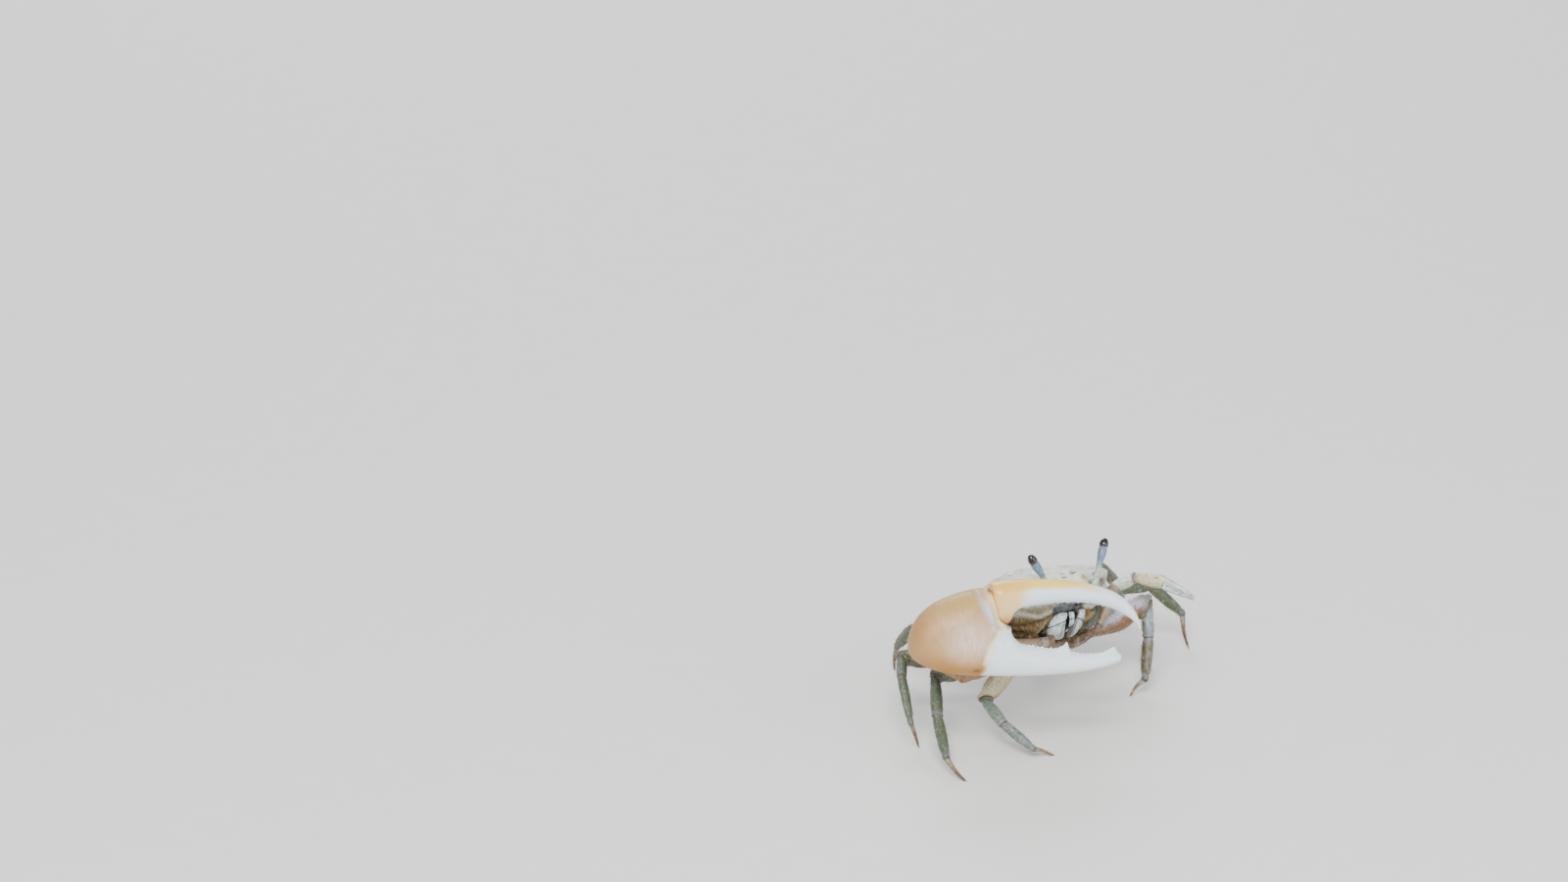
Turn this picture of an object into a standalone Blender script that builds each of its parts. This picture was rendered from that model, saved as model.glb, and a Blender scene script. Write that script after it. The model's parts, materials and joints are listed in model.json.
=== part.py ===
"""A male fiddler crab, life size, standing still with its large claw folded across its face.

Sizes are millimetres, and MM turns them into metres. The crab faces -Y, its own left is +X, and
Z is up from the floor. The body's own frame has its origin midway between the two front corners
of the carapace; BODY leans and lifts it into the stance.
"""

import math

import bmesh
import bpy
from mathutils import Matrix, Vector

MM = 0.001
GAP = 0.3

# The carapace, in the body's own frame.
CARAPACE_WIDTH = 20.0
CORNER_Y = -3.4
LOBE_Y = -6.3
LOBE_HALF_WIDTH = 3.1
BACK_Y = 6.3
BACK_HALF_WIDTH = 4.9
DOME_HEIGHT = 1.45
LOBE_DROP = 0.9
BACK_DROP = 2.6
BODY_DEPTH = 6.5

# The dome's curve from middle to rim, and the shallow grooves on it: depth, place and spread across
# and along the shell.
DOME_POWERS = (2.6, 0.62)
SIDE_GROOVE = (0.28, (3.0, 0.7), (0.6, 2.6))
CROSS_GROOVE = (0.22, (0.0, 2.6), (0.9, 0.6))
# The rim's rise over each orbit, with its place and spread, and the spread of the front lobe.
BROW = (0.35, 6.0, 2.2)
LOBE_SPREAD = 2.6

# The stance: how far the front is raised, how far the left side is lowered, and the ride height.
PITCH = math.radians(16.0)
ROLL = math.radians(12.5)
RIDE_HEIGHT = 15.5
BODY = (
    Matrix.Translation((0.0, 0.0, RIDE_HEIGHT))
    @ Matrix.Rotation(ROLL, 4, "Y")
    @ Matrix.Rotation(-PITCH, 4, "X")
)

# The orbits, which are the grooves that the eyestalks fold into.
ORBIT_INNER = Vector((3.7, -6.0, -1.15))
ORBIT_OUTER = Vector((9.0, -4.35, -0.95))
ORBIT_RADIUS = 0.95

# The orbit's hollow: shares along it and how wide it is there. Its lower edge carries a row of beads.
ORBIT_HOLLOW = ((-0.10, 0.35), (-0.04, 0.8), (0.15, 1.0), (0.5, 0.98), (0.85, 0.72), (1.0, 0.4), (1.06, 0.15))
ORBIT_BEADS = 7
ORBIT_BEAD_RADIUS = 0.40

# The top's rings, as shares of the outline. Each wall ring below: its depth below the rim as a share
# of the body's depth, how narrow it is, and how far its front and back come in.
TOP_RINGS = (0.16, 0.4, 0.62, 0.8, 0.92, 0.985)
WALL_RINGS = (
    (0.10, 0.985, 0.975, 0.985),
    (0.28, 0.955, 0.965, 0.965),
    (0.47, 0.890, 0.930, 0.93),
    (0.66, 0.760, 0.850, 0.88),
    (0.83, 0.580, 0.715, 0.80),
    (0.95, 0.400, 0.600, 0.70),
    (1.00, 0.280, 0.440, 0.50),
)
# The face swells below each orbit: how far, its place and its spread.
CHEEK = (0.55, 6.0, 2.4)

# The breastplate's rings: how far below its top, half width and half length.
BREASTPLATE_DROP = 0.1
BREASTPLATE_RINGS = ((0.0, 3.4, 3.8), (0.5, 4.1, 4.4), (1.2, 4.2, 4.5), (1.8, 3.4, 4.0), (2.05, 2.2, 3.0))
BREASTPLATE_Y = 0.9
BREASTPLATE_SIDES = 20
HIP_ROOT_DEPTH = 1.0
HIP_BEND_DEPTH = 1.2
ARM_ROOT_Y = -2.2

# The tail flap: its path from the shell's back edge and under the body, half width, thickness and joints.
ABDOMEN_FLOOR = -BODY_DEPTH - 2.05 - 2.6 * GAP
ABDOMEN_PATH = (
    (BACK_Y + 0.75, -2.9), (BACK_Y + 0.95, -4.6), (BACK_Y + 0.65, -6.6), (BACK_Y - 0.5, -8.75),
    (BACK_Y - 2.9, ABDOMEN_FLOOR - 0.65), (0.2, ABDOMEN_FLOOR - 0.65), (-2.6, ABDOMEN_FLOOR - 0.55),
)
ABDOMEN_HALF_WIDTHS = (2.3, 1.1)
ABDOMEN_HALF_THICKNESS = 0.42
ABDOMEN_RINGS = 19
ABDOMEN_JOINT_EVERY = 3

# The eyestalks: from the inner end of each orbit, in the body's own frame.
EYESTALK_BASE = Vector((4.1, -6.1, -0.75))
EYESTALK_RIGHT = Vector((-3.4, 0.4, 4.8))
EYESTALK_LEFT = Vector((1.8, -0.6, 5.35))
EYE_SHARE = 0.25
STALK_SIZES = ((0.42, 0.42), (0.50, 0.50), (0.43, 0.43), (0.41, 0.41), (0.50, 0.50), (0.58, 0.58))
EYE_SIZES = ((0.50, 0.50), (0.61, 0.61), (0.64, 0.64), (0.60, 0.60), (0.46, 0.46), (0.20, 0.20))

# The short feelers beside the orbits: their path out from the base, and their thickness at each end.
FEELER_BASE = (2.15, LOBE_Y - 0.02, -2.35)
FEELER_PATH = ((0.0, 0.0, 0.0), (0.35, -0.8, 0.35), (0.9, -1.3, 1.1), (1.6, -1.5, 1.9))
FEELER_RADII = (0.34, 0.09)
FEELER_RINGS = 6

# The mouth's outer plates, on the face.
MOUTH_TOP = Vector((0.0, -5.62, -3.75))
MOUTH_BOTTOM = Vector((0.0, -4.40, -6.95))
# Each section of a mouth plate: its place down the mouth, its inner and outer edge, and its half thickness.
MOUTH_PLATE = (
    (0.00, 0.95, 1.75, 0.20),
    (0.06, 0.75, 2.45, 0.34),
    (0.25, 0.70, 2.95, 0.42),
    (0.45, 0.62, 3.20, 0.42),
    (0.49, 0.58, 3.22, 0.33),
    (0.53, 0.52, 3.26, 0.42),
    (0.75, 0.24, 3.20, 0.40),
    (0.92, 0.20, 2.55, 0.32),
    (1.00, 0.50, 1.70, 0.18),
)
MOUTH_CURVE = 0.055
# The room let into the face behind the plates: shares down the mouth and half widths, then its depth.
MOUTH_ROOM = ((-0.30, 1.9), (-0.20, 3.0), (0.1, 3.55), (0.6, 3.5), (1.0, 3.0), (1.4, 2.6))
MOUTH_ROOM_DEPTH = 1.2
MOUTH_ROOM_FRONT = 2.2

# The legs, first pair to last, from front to back. Knees and toes are places in the stance.
LEG_NAMES = ("first", "second", "third", "fourth")
HIP_X = (6.0, 6.3, 6.0, 5.0)
HIP_Y = (-2.8, -0.55, 1.65, 3.8)
HIP_Z = -7.3
LEG_HIP_RADIUS = 0.92
RIGHT_KNEES = ((-12.65, -3.15, 5.0), (-15.9, 2.0, 7.5), (-16.4, 7.0, 8.5), (-8.9, 9.0, 8.6))
RIGHT_TOES = ((-11.0, -12.7), (-23.1, -9.3), (-20.3, 0.7), (-6.5, 16.8))
LEFT_KNEES = ((13.05, -7.0, 9.7), (15.2, -0.6, 9.0), (14.6, 4.4, 8.6), (10.8, 8.2, 7.8))
LEFT_TOES = ((7.5, -9.2), (22.3, -6.2), (22.5, 4.2), (16.4, 13.2))
RIGHT_BOWS = ((-1.0, 0.0, 0.3), (-0.75, 0.45, 0.4), (-0.8, -0.6, 0.3), (0.0, 0.25, 1.0))
LEFT_BOWS = ((0.0, -1.0, -0.3), (0.9, 0.1, 0.6), (1.0, 0.3, 0.5), (0.8, 0.8, 0.6))
RIGHT_LOWER = ((4.4, 4.8, 2.8), (6.2, 6.2, 3.7), (4.8, 5.7, 4.3), (4.2, 4.9, 3.9))
LEFT_LOWER = ((4.0, 5.2, 2.8), (4.8, 5.9, 4.5), (4.7, 5.7, 4.3), (4.2, 4.9, 4.0))
# How much each leg bends at its wrist, as a share of its bend at the ankle.
RIGHT_WRISTS = (0.6, 0.25, 1.0, 1.0)
LEFT_WRISTS = (0.2, 1.0, 1.0, 1.0)
TOE_RADIUS = 0.2

# Each segment of a limb is a tube of eight sides. The slant of its end faces fades before its middle.
LIMB_SIDES = 8
SLANT_FADE = 2.2
MOST_BEND = math.radians(150.0)

# Half depths and half widths at even steps along each segment of a leg, and the rings that each has.
UPPER_LEG = ((0.76, 0.70), (1.02, 0.78), (1.60, 0.90), (1.78, 0.94), (1.66, 0.92), (1.10, 0.86))
CARPUS = ((0.64, 0.60), (0.86, 0.72), (0.90, 0.74), (0.82, 0.68))
PROPODUS = ((0.78, 0.64), (0.84, 0.66), (0.76, 0.60), (0.54, 0.46))
DACTYL = ((0.42, 0.36), (0.37, 0.31), (0.28, 0.25), (TOE_RADIUS, TOE_RADIUS))
LEG_RINGS = (7, 5, 5, 6)

# The large claw, in its own frame: X runs from wrist to tips, Z is up and -Y is the outer face.
CLAW_CENTRE = Vector((-17.9, -4.9, 16.55))
CLAW_YAW = math.radians(-37.0)
CLAW_PITCH = math.radians(5.0)
CLAW_TILT = math.radians(-16.0)
CLAW = (
    Matrix.Translation(CLAW_CENTRE)
    @ Matrix.Rotation(CLAW_YAW, 4, "Z")
    @ Matrix.Rotation(CLAW_PITCH, 4, "Y")
    @ Matrix.Rotation(CLAW_TILT, 4, "X")
)
# Each section of the palm and fixed finger: its top and bottom point, the bulge of its outer and
# inner face, and how square it is. The top points run down the socket of the hinge at the sixth.
PALM_SECTIONS = (
    ((-7.35, -0.60), (-7.30, -2.30), 0.8, 0.7, 1.0),
    ((-6.75, 1.45), (-6.80, -3.30), 1.9, 1.4, 1.0),
    ((-5.10, 3.40), (-5.15, -4.40), 2.9, 2.0, 1.0),
    ((-2.60, 4.65), (-2.60, -5.10), 3.5, 2.4, 1.0),
    ((0.00, 5.35), (0.20, -5.25), 3.7, 2.5, 0.95),
    ((1.75, 5.70), (2.20, -5.25), 3.3, 2.4, 0.80),
    ((2.15, 4.40), (3.30, -5.25), 3.2, 2.3, 0.70),
    ((2.55, 2.50), (4.20, -5.25), 3.1, 2.2, 0.70),
    ((3.10, 1.10), (5.10, -5.25), 2.9, 2.1, 0.75),
    ((4.60, 0.85), (6.00, -5.25), 2.6, 1.9, 0.85),
    ((5.35, -0.40), (7.00, -5.25), 2.3, 1.7, 0.9),
    ((6.60, -1.45), (8.50, -5.22), 2.05, 1.5, 1.0),
    ((9.30, -1.95), (10.80, -5.12), 1.8, 1.35, 1.0),
    ((12.20, -2.15), (13.20, -4.98), 1.55, 1.25, 1.0),
    ((14.60, -2.70), (15.20, -4.72), 1.3, 1.05, 1.0),
    ((16.60, -2.60), (17.00, -4.32), 1.05, 0.85, 1.0),
    ((18.00, -2.15), (18.40, -3.85), 0.85, 0.7, 1.0),
    ((18.95, -2.65), (19.00, -3.50), 0.5, 0.45, 1.0),
)
FINGER_SECTIONS = (
    ((2.33, 6.00), (3.24, 1.60), 1.75, 1.45, 0.8),
    ((3.60, 6.42), (4.75, 1.55), 2.05, 1.6, 0.9),
    ((5.70, 6.55), (5.75, 2.75), 1.95, 1.5, 1.0),
    ((8.00, 6.55), (7.80, 3.25), 1.75, 1.35, 1.0),
    ((10.6, 6.45), (10.4, 3.55), 1.55, 1.25, 1.0),
    ((13.2, 6.22), (12.9, 3.65), 1.4, 1.15, 1.0),
    ((15.7, 5.75), (15.1, 3.50), 1.2, 1.0, 1.0),
    ((17.8, 4.95), (17.0, 3.10), 1.0, 0.85, 1.0),
    ((19.4, 3.95), (18.5, 2.45), 0.85, 0.7, 1.0),
    ((20.5, 2.75), (19.8, 1.75), 0.65, 0.55, 1.0),
    ((21.15, 1.40), (20.7, 1.05), 0.5, 0.42, 1.0),
    ((21.30, 0.25), (21.05, 0.20), 0.2, 0.2, 1.0),
)
CLAW_SIDES = 16
TOOTH_RADIUS = 0.26
TOOTH_HEIGHT = 0.30
TOOTH_SUNK = 0.8
BIG_TOOTH_RADIUS = 0.50
BIG_TOOTH_HEIGHT = 0.62
# The fixed finger's two large teeth: place along and up the claw, and size.
BIG_TEETH = (((12.2, -2.1), 1.0), ((18.2, -2.3), 0.75))
PALM_TEETH = 13
FINGER_TEETH = 12

# The arm that carries the large claw, in the stance.
ARM_HIP = Vector((-6.8, -7.1, 12.2))
ARM_HIP_RADIUS = 0.80
ARM_ELBOW = Vector((-15.2, -2.2, 10.6))
ARM_WRIST = Vector((-20.8, 1.5, 15.3))
ARM_UPPER = ((0.90, 0.85), (1.05, 0.95), (1.40, 1.15), (2.05, 1.35), (2.50, 1.45), (2.15, 1.40))
ARM_CARPUS = ((1.85, 1.45), (2.35, 1.75), (2.35, 1.80), (1.75, 1.45), (0.95, 0.85))

# The small claw on the other side, in the stance.
SMALL_HIP = Vector((4.9, -6.5, 10.2))
SMALL_HIP_RADIUS = 0.58
SMALL_ELBOW = Vector((8.2, -5.9, 13.5))
SMALL_WRIST = Vector((10.0, -7.5, 14.7))
SMALL_TIP = Vector((12.2, -15.3, 13.95))
SMALL_UPPER = ((0.48, 0.46), (0.62, 0.52), (0.82, 0.64), (0.86, 0.70), (0.74, 0.68))
SMALL_CARPUS = ((0.76, 0.70), (0.90, 0.82), (0.78, 0.72))
SMALL_PALM_SHARE = 0.47
# How far the small claw's palm is raised at its far end, so that the fingers droop from there.
SMALL_ARCH = Vector((0.0, 0.0, 0.5))
# The small claw's two fingers: how far above or below the middle each starts, and both end.
SMALL_FIXED_START = (-0.8, 0.52)
SMALL_MOVABLE_START = (GAP, 0.60)
SMALL_TIP_RISE = 0.36
SMALL_PALM = ((0.62, 0.60), (0.95, 0.78), (1.05, 0.80), (0.95, 0.70))
SMALL_FINGER = ((0.42, 0.52), (0.40, 0.46), (0.34, 0.40), (0.26, 0.30))

SHELL = ("shell", (0.62, 0.60, 0.42), 0.35)
UNDERSIDE = ("underside", (0.38, 0.33, 0.22), 0.5)
LEG = ("leg", (0.16, 0.22, 0.15), 0.4)
CLAW_PALM = ("claw_palm", (0.72, 0.45, 0.20), 0.35)
CLAW_FINGER = ("claw_finger", (0.86, 0.82, 0.72), 0.3)
SMALL_CLAW = ("small_claw", (0.62, 0.56, 0.38), 0.4)
STALK = ("eyestalk", (0.40, 0.50, 0.52), 0.35)
EYE = ("eye", (0.03, 0.03, 0.04), 0.1)
MOUTH = ("mouth_plate", (0.45, 0.50, 0.50), 0.4)


def material(look):
    """The material of this name, made once."""
    name, colour, roughness = look
    made = bpy.data.materials.get(name)
    if made is None:
        made = bpy.data.materials.new(name)
        made.use_nodes = True
        shader = made.node_tree.nodes["Principled BSDF"]
        shader.inputs["Base Color"].default_value = (*colour, 1.0)
        shader.inputs["Roughness"].default_value = roughness
        shader.inputs["Metallic"].default_value = 0.0
    return made


def finish(name, bm, look, frame=None, smooth=True):
    """Turns a bmesh in millimetres into a named object, placed by its frame under the crab's root."""
    bmesh.ops.recalc_face_normals(bm, faces=bm.faces)
    bmesh.ops.scale(bm, vec=(MM, MM, MM), verts=bm.verts)
    mesh = bpy.data.meshes.new(name)
    bm.to_mesh(mesh)
    bm.free()
    mesh.materials.append(material(look))
    if smooth:
        mesh.shade_smooth()
        mesh.set_sharp_from_angle(angle=math.radians(40.0))
    made = bpy.data.objects.new(name, mesh)
    parts.objects.link(made)
    if frame is not None:
        made.matrix_world = in_metres(frame)
    return made


def in_metres(frame):
    """The same frame with its place in metres."""
    placed = frame.copy()
    placed.translation = frame.translation * MM
    return placed


def applied(obj):
    """Applies the object's modifiers."""
    seen = bpy.context.evaluated_depsgraph_get()
    mesh = bpy.data.meshes.new_from_object(obj.evaluated_get(seen))
    obj.modifiers.clear()
    old = obj.data
    obj.data = mesh
    bpy.data.meshes.remove(old)


def boolean(obj, pieces, operation, solver="EXACT"):
    """Joins the pieces to the object, or cuts them from it, and removes them."""
    bag = bpy.data.collections.new(obj.name + "_pieces")
    bpy.context.scene.collection.children.link(bag)
    for piece in pieces:
        parts.objects.unlink(piece)
        bag.objects.link(piece)
    modifier = obj.modifiers.new(operation.lower(), "BOOLEAN")
    modifier.operation = operation
    modifier.operand_type = "COLLECTION"
    modifier.collection = bag
    modifier.solver = solver
    bpy.context.view_layer.update()
    applied(obj)
    for piece in pieces:
        bpy.data.objects.remove(piece)
    bpy.data.collections.remove(bag)
    keep_largest(obj)


def keep_largest(obj):
    """Drops every loose surface but the one with the most faces."""
    bm = bmesh.new()
    bm.from_mesh(obj.data)
    left = set(bm.verts)
    groups = []
    while left:
        reached = {left.pop()}
        edge = list(reached)
        while edge:
            near = {e.other_vert(v) for v in edge for e in v.link_edges} & left
            left -= near
            reached |= near
            edge = list(near)
        groups.append(reached)
    groups.sort(key=len)
    for group in groups[:-1]:
        bmesh.ops.delete(bm, geom=list(group), context="VERTS")
    bm.to_mesh(obj.data)
    bm.free()


def skin(rings):
    """A closed bmesh through rings of points that all have the same count."""
    bm = bmesh.new()
    rows = [[bm.verts.new(point) for point in ring] for ring in rings]
    count = len(rows[0])
    for first, second in zip(rows, rows[1:]):
        for i in range(count):
            j = (i + 1) % count
            bm.faces.new((first[i], first[j], second[j], second[i]))
    bm.faces.new(list(reversed(rows[0])))
    bm.faces.new(rows[-1])
    return bm


def at_share(sizes, share):
    """A smooth value between the sizes given at even steps from 0 to 1."""
    place = share * (len(sizes) - 1)
    low = min(int(place), len(sizes) - 2)
    part = place - low
    eased = part * part * (3.0 - 2.0 * part)
    return [a + (b - a) * eased for a, b in zip(sizes[low], sizes[low + 1])]


def between_planes(
    start, end, start_normal, end_normal, side, sizes, sides=LIMB_SIDES, steps=None, start_gap=GAP, end_gap=GAP
):
    """Rings of a segment from start to end whose two end faces lie in the planes given.

    Both ends stand half a gap back from their plane. Sizes are half depths and half widths.
    """
    axis = (end - start).normalized()
    length = (end - start).length
    width = (side - axis * side.dot(axis)).normalized()
    depth = width.cross(axis).normalized()
    steps = steps or len(sizes)
    rings = []
    for n in range(steps):
        share = n / (steps - 1)
        half_depth, half_width = at_share(sizes, share)
        centre = start + axis * length * share
        ring = []
        for i in range(sides):
            turn = 2.0 * math.pi * (i + 0.5) / sides
            offset = depth * (math.cos(turn) * half_depth) + width * (math.sin(turn) * half_width)
            slant_start = (0.5 * start_gap - offset.dot(start_normal)) / axis.dot(start_normal)
            slant_end = (-0.5 * end_gap - offset.dot(end_normal)) / axis.dot(end_normal)
            near_start = max(0.0, 1.0 - share * SLANT_FADE)
            near_end = max(0.0, 1.0 - (1.0 - share) * SLANT_FADE)
            ring.append(centre + offset + axis * (slant_start * near_start + slant_end * near_end))
        rings.append(ring)
    return rings


def limb(prefix, names, joints, sizes, looks, sides_of, last_normal, last_gap=GAP, steps=None):
    """The segments of a limb along its joints, parted at each joint by a thin cut on the bisector."""
    directions = [(b - a).normalized() for a, b in zip(joints, joints[1:])]
    made = []
    for n, name in enumerate(names):
        before = directions[n - 1] if n else directions[0]
        start_normal = (before + directions[n]).normalized()
        final = n == len(names) - 1
        end_normal = last_normal if final else (directions[n] + directions[n + 1]).normalized()
        rings = between_planes(
            joints[n], joints[n + 1], start_normal, end_normal, sides_of[n], sizes[n],
            end_gap=last_gap if final else GAP, steps=steps[n] if steps else None,
        )
        made.append(finish(prefix + "_" + name, skin(rings), looks[n]))
    return made


def bent_chain(knee, toe, lengths, bow, wrist):
    """Knee, wrist, ankle and toe of three segments that bend towards the bow.

    The wrist bends by its share of the ankle's bend.
    """
    reach = (toe - knee).length
    along = (toe - knee) / reach
    across = (bow - along * bow.dot(along)).normalized()
    low, high = 0.0, MOST_BEND
    first, second, third = lengths
    for _ in range(40):
        bend = 0.5 * (low + high)
        turns = (0.0, wrist * bend, (1.0 + wrist) * bend)
        forward = first + second * math.cos(turns[1]) + third * math.cos(turns[2])
        sideways = second * math.sin(turns[1]) + third * math.sin(turns[2])
        if math.hypot(forward, sideways) > reach:
            low = bend
        else:
            high = bend
    lift = math.atan2(sideways, forward)
    points = [knee]
    for length, turn in zip(lengths, turns):
        angle = lift - turn
        points.append(points[-1] + (along * math.cos(angle) + across * math.sin(angle)) * length)
    points[-1] = toe
    return points


def spline(points, shares):
    """Points on a Catmull-Rom curve through the points given, at shares from 0 to 1."""
    found = []
    last = len(points) - 1
    for share in shares:
        place = share * last
        n = min(int(place), last - 1)
        t = place - n
        a = points[max(n - 1, 0)]
        b, c = points[n], points[n + 1]
        d = points[min(n + 2, last)]
        square = 2.0 * a - 5.0 * b + 4.0 * c - d
        cube = 3.0 * b - a - 3.0 * c + d
        found.append(0.5 * (2.0 * b + (c - a) * t + square * t ** 2 + cube * t ** 3))
    return found


def plan_outline():
    """The carapace from above, as points round it from the front's middle by way of the left side."""
    half = CARAPACE_WIDTH / 2.0
    front = [
        Vector((0.0, LOBE_Y)), Vector((LOBE_HALF_WIDTH * 0.6, LOBE_Y + 0.12)),
        Vector((LOBE_HALF_WIDTH, LOBE_Y + 0.45)),
    ]
    orbit = [
        Vector((LOBE_HALF_WIDTH + 1.0, LOBE_Y + 1.15)), Vector((half * 0.72, CORNER_Y - 1.0)),
        Vector((half * 0.92, CORNER_Y - 0.35)),
    ]
    side = [
        Vector((half, CORNER_Y)), Vector((half * 0.985, CORNER_Y + 1.3)), Vector((half * 0.93, 0.4)),
        Vector((half * 0.77, 3.4)),
    ]
    back = [
        Vector((BACK_HALF_WIDTH, BACK_Y - 0.5)), Vector((BACK_HALF_WIDTH * 0.8, BACK_Y)), Vector((0.0, BACK_Y)),
    ]
    right_to_left = front[:1]
    right_to_left += spline(front + orbit[:1], [n / 6 for n in range(1, 7)])
    right_to_left += spline(orbit + side[:1], [n / 5 for n in range(1, 6)])
    right_to_left += spline(side + back, [n / 11 for n in range(1, 12)])
    mirrored = [Vector((-p.x, p.y)) for p in reversed(right_to_left[1:-1])]
    return right_to_left + mirrored


def top_height(x, y, rim):
    """Height of the carapace's top at x, y. The rim is the point of the outline that lies that way."""
    share = min(1.0, math.hypot(x, y) / max(math.hypot(rim.x, rim.y), 0.01))
    inner, outer = DOME_POWERS
    rise = (1.0 - share ** inner) ** outer
    grooves = 0.0
    for depth, (place_x, spread_x), (place_y, spread_y) in (SIDE_GROOVE, CROSS_GROOVE):
        grooves += depth * swell(abs(x), place_x, spread_x) * swell(y, place_y, spread_y)
    return rim_height(rim) * share ** 3 + (DOME_HEIGHT - grooves) * rise


def swell(value, place, spread):
    """A smooth rise from 0 to 1 and back about a place."""
    return math.exp(-((value - place) / spread) ** 2)


def rim_height(rim):
    """Height of the carapace's edge: lowest at the front lobe and along the back."""
    lobe = LOBE_DROP * math.exp(-(rim.x / LOBE_SPREAD) ** 4) if rim.y < CORNER_Y else 0.0
    back = BACK_DROP * min(1.0, max(0.0, (rim.y - CORNER_Y) / (BACK_Y - CORNER_Y))) ** 1.3
    height, place, spread = BROW
    brow = height * swell(abs(rim.x), place, spread) if rim.y < CORNER_Y else 0.0
    return brow - lobe - back


def carapace():
    """The shell: a domed top, side walls and a sloping face, with orbits and a mouth frame cut in."""
    outline = plan_outline()
    rings = []
    for share in TOP_RINGS:
        inner = [(p.x * share, p.y * share, p) for p in outline]
        rings.append([Vector((x, y, top_height(x, y, rim))) for x, y, rim in inner])
    rings.append([Vector((p.x, p.y, rim_height(p))) for p in outline])
    bulge, place, spread = CHEEK
    for depth, width, front, back in WALL_RINGS:
        ring = []
        for p in outline:
            cheek = swell(abs(p.x), place, spread) if p.y < CORNER_Y else 0.0
            y = p.y * (front if p.y < 0.0 else back) - bulge * math.sin(math.pi * depth) * cheek
            rim = rim_height(p) * (1.0 - depth)
            ring.append(Vector((p.x * width, y, rim - BODY_DEPTH * depth)))
        rings.append(ring)
    shell = finish("carapace", skin(rings), SHELL)
    cut = [orbit_cutter(1.0), orbit_cutter(-1.0), mouth_cutter()]
    boolean(shell, cut, "DIFFERENCE")
    boolean(shell, orbit_beads(), "UNION")
    shell.matrix_world = in_metres(BODY)
    return shell


def orbit_cutter(side):
    """A long bead whose place is scooped out of the front edge for one orbit."""
    inner = Vector((ORBIT_INNER.x * side, ORBIT_INNER.y, ORBIT_INNER.z))
    outer = Vector((ORBIT_OUTER.x * side, ORBIT_OUTER.y, ORBIT_OUTER.z))
    axis = (outer - inner).normalized()
    up = Vector((0.0, 0.0, 1.0))
    across = axis.cross(up).normalized()
    rings = []
    for share, scale in ORBIT_HOLLOW:
        centre = inner.lerp(outer, share)
        radius = ORBIT_RADIUS * scale
        ring = []
        for i in range(12):
            turn = 2.0 * math.pi * i / 12
            ring.append(centre + across * (math.cos(turn) * radius * 1.25) + up * (math.sin(turn) * radius))
        rings.append(ring)
    return finish("orbit_cutter", skin(rings), SHELL)


def mouth_cutter():
    """A rounded block whose place is let into the face for the two mouth plates."""
    down = (MOUTH_BOTTOM - MOUTH_TOP).normalized()
    out = Vector((0.0, down.z, -down.y)).normalized()
    rings = []
    deep, front = MOUTH_ROOM_DEPTH, MOUTH_ROOM_FRONT
    for share, half in MOUTH_ROOM:
        centre = MOUTH_TOP.lerp(MOUTH_BOTTOM, share)
        corners = (
            (-half, front), (half, front), (half, -deep * 0.4), (half * 0.85, -deep),
            (-half * 0.85, -deep), (-half, -deep * 0.4),
        )
        rings.append([centre + Vector((x, 0.0, 0.0)) + out * y for x, y in corners])
    return finish("mouth_cutter", skin(rings), SHELL)


def orbit_beads():
    """The row of beads along each orbit's lower edge."""
    beads = []
    for side in (1.0, -1.0):
        for n in range(ORBIT_BEADS):
            share = n / (ORBIT_BEADS - 1)
            drop = ORBIT_RADIUS * (1.15 - 0.45 * share)
            centre = ORBIT_INNER.lerp(ORBIT_OUTER, share) + Vector((0.0, 0.62 + 0.1 * share, -drop))
            bm = bmesh.new()
            place = Matrix.Translation((centre.x * side, centre.y, centre.z))
            radius = ORBIT_BEAD_RADIUS * (1.0 - 0.25 * share)
            bmesh.ops.create_icosphere(bm, subdivisions=1, radius=radius, matrix=place)
            beads.append(finish("bead", bm, SHELL))
    return beads


def hip(side, n):
    """Where a leg leaves the body, in the body's own frame."""
    return Vector((HIP_X[n] * side, HIP_Y[n], HIP_Z))


def stub(name, start, end, radius_start, radius_end, look):
    """A short cone between two points, such as a hip joint."""
    axis = end - start
    bm = bmesh.new()
    turn = axis.to_track_quat("Z", "Y").to_matrix().to_4x4()
    place = Matrix.Translation((start + end) / 2.0) @ turn
    bmesh.ops.create_cone(
        bm, cap_ends=True, segments=10, radius1=radius_start, radius2=radius_end, depth=axis.length, matrix=place
    )
    return finish(name, bm, look)


def ring_at(point, normal, radius, sides=8):
    """A ring of points about a point, square to the normal."""
    side = Vector((0.0, 1.0, 0.0))
    across = (side - normal * side.dot(normal)).normalized()
    other = across.cross(normal)
    turns = [2.0 * math.pi * (i + 0.5) / sides for i in range(sides)]
    return [point + (across * math.cos(turn) + other * math.sin(turn)) * radius for turn in turns]


def hip_stub(root, leaves, onward, radius):
    """The bent stub that carries a limb, faced square to the way the limb sets off."""
    onward = onward.normalized()
    bend = leaves - onward * HIP_BEND_DEPTH
    axis = (bend - root).normalized()
    middle = (axis + onward).normalized()
    rings = [
        ring_at(root, axis, radius),
        ring_at(root.lerp(bend, 0.6), axis, radius * 1.03),
        ring_at(bend, middle, radius),
        ring_at(leaves - onward * 0.5, onward, radius * 0.93),
        ring_at(leaves - onward * (GAP / 2.0), onward, radius * 0.78),
    ]
    return finish("hip", skin(rings), UNDERSIDE)


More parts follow.
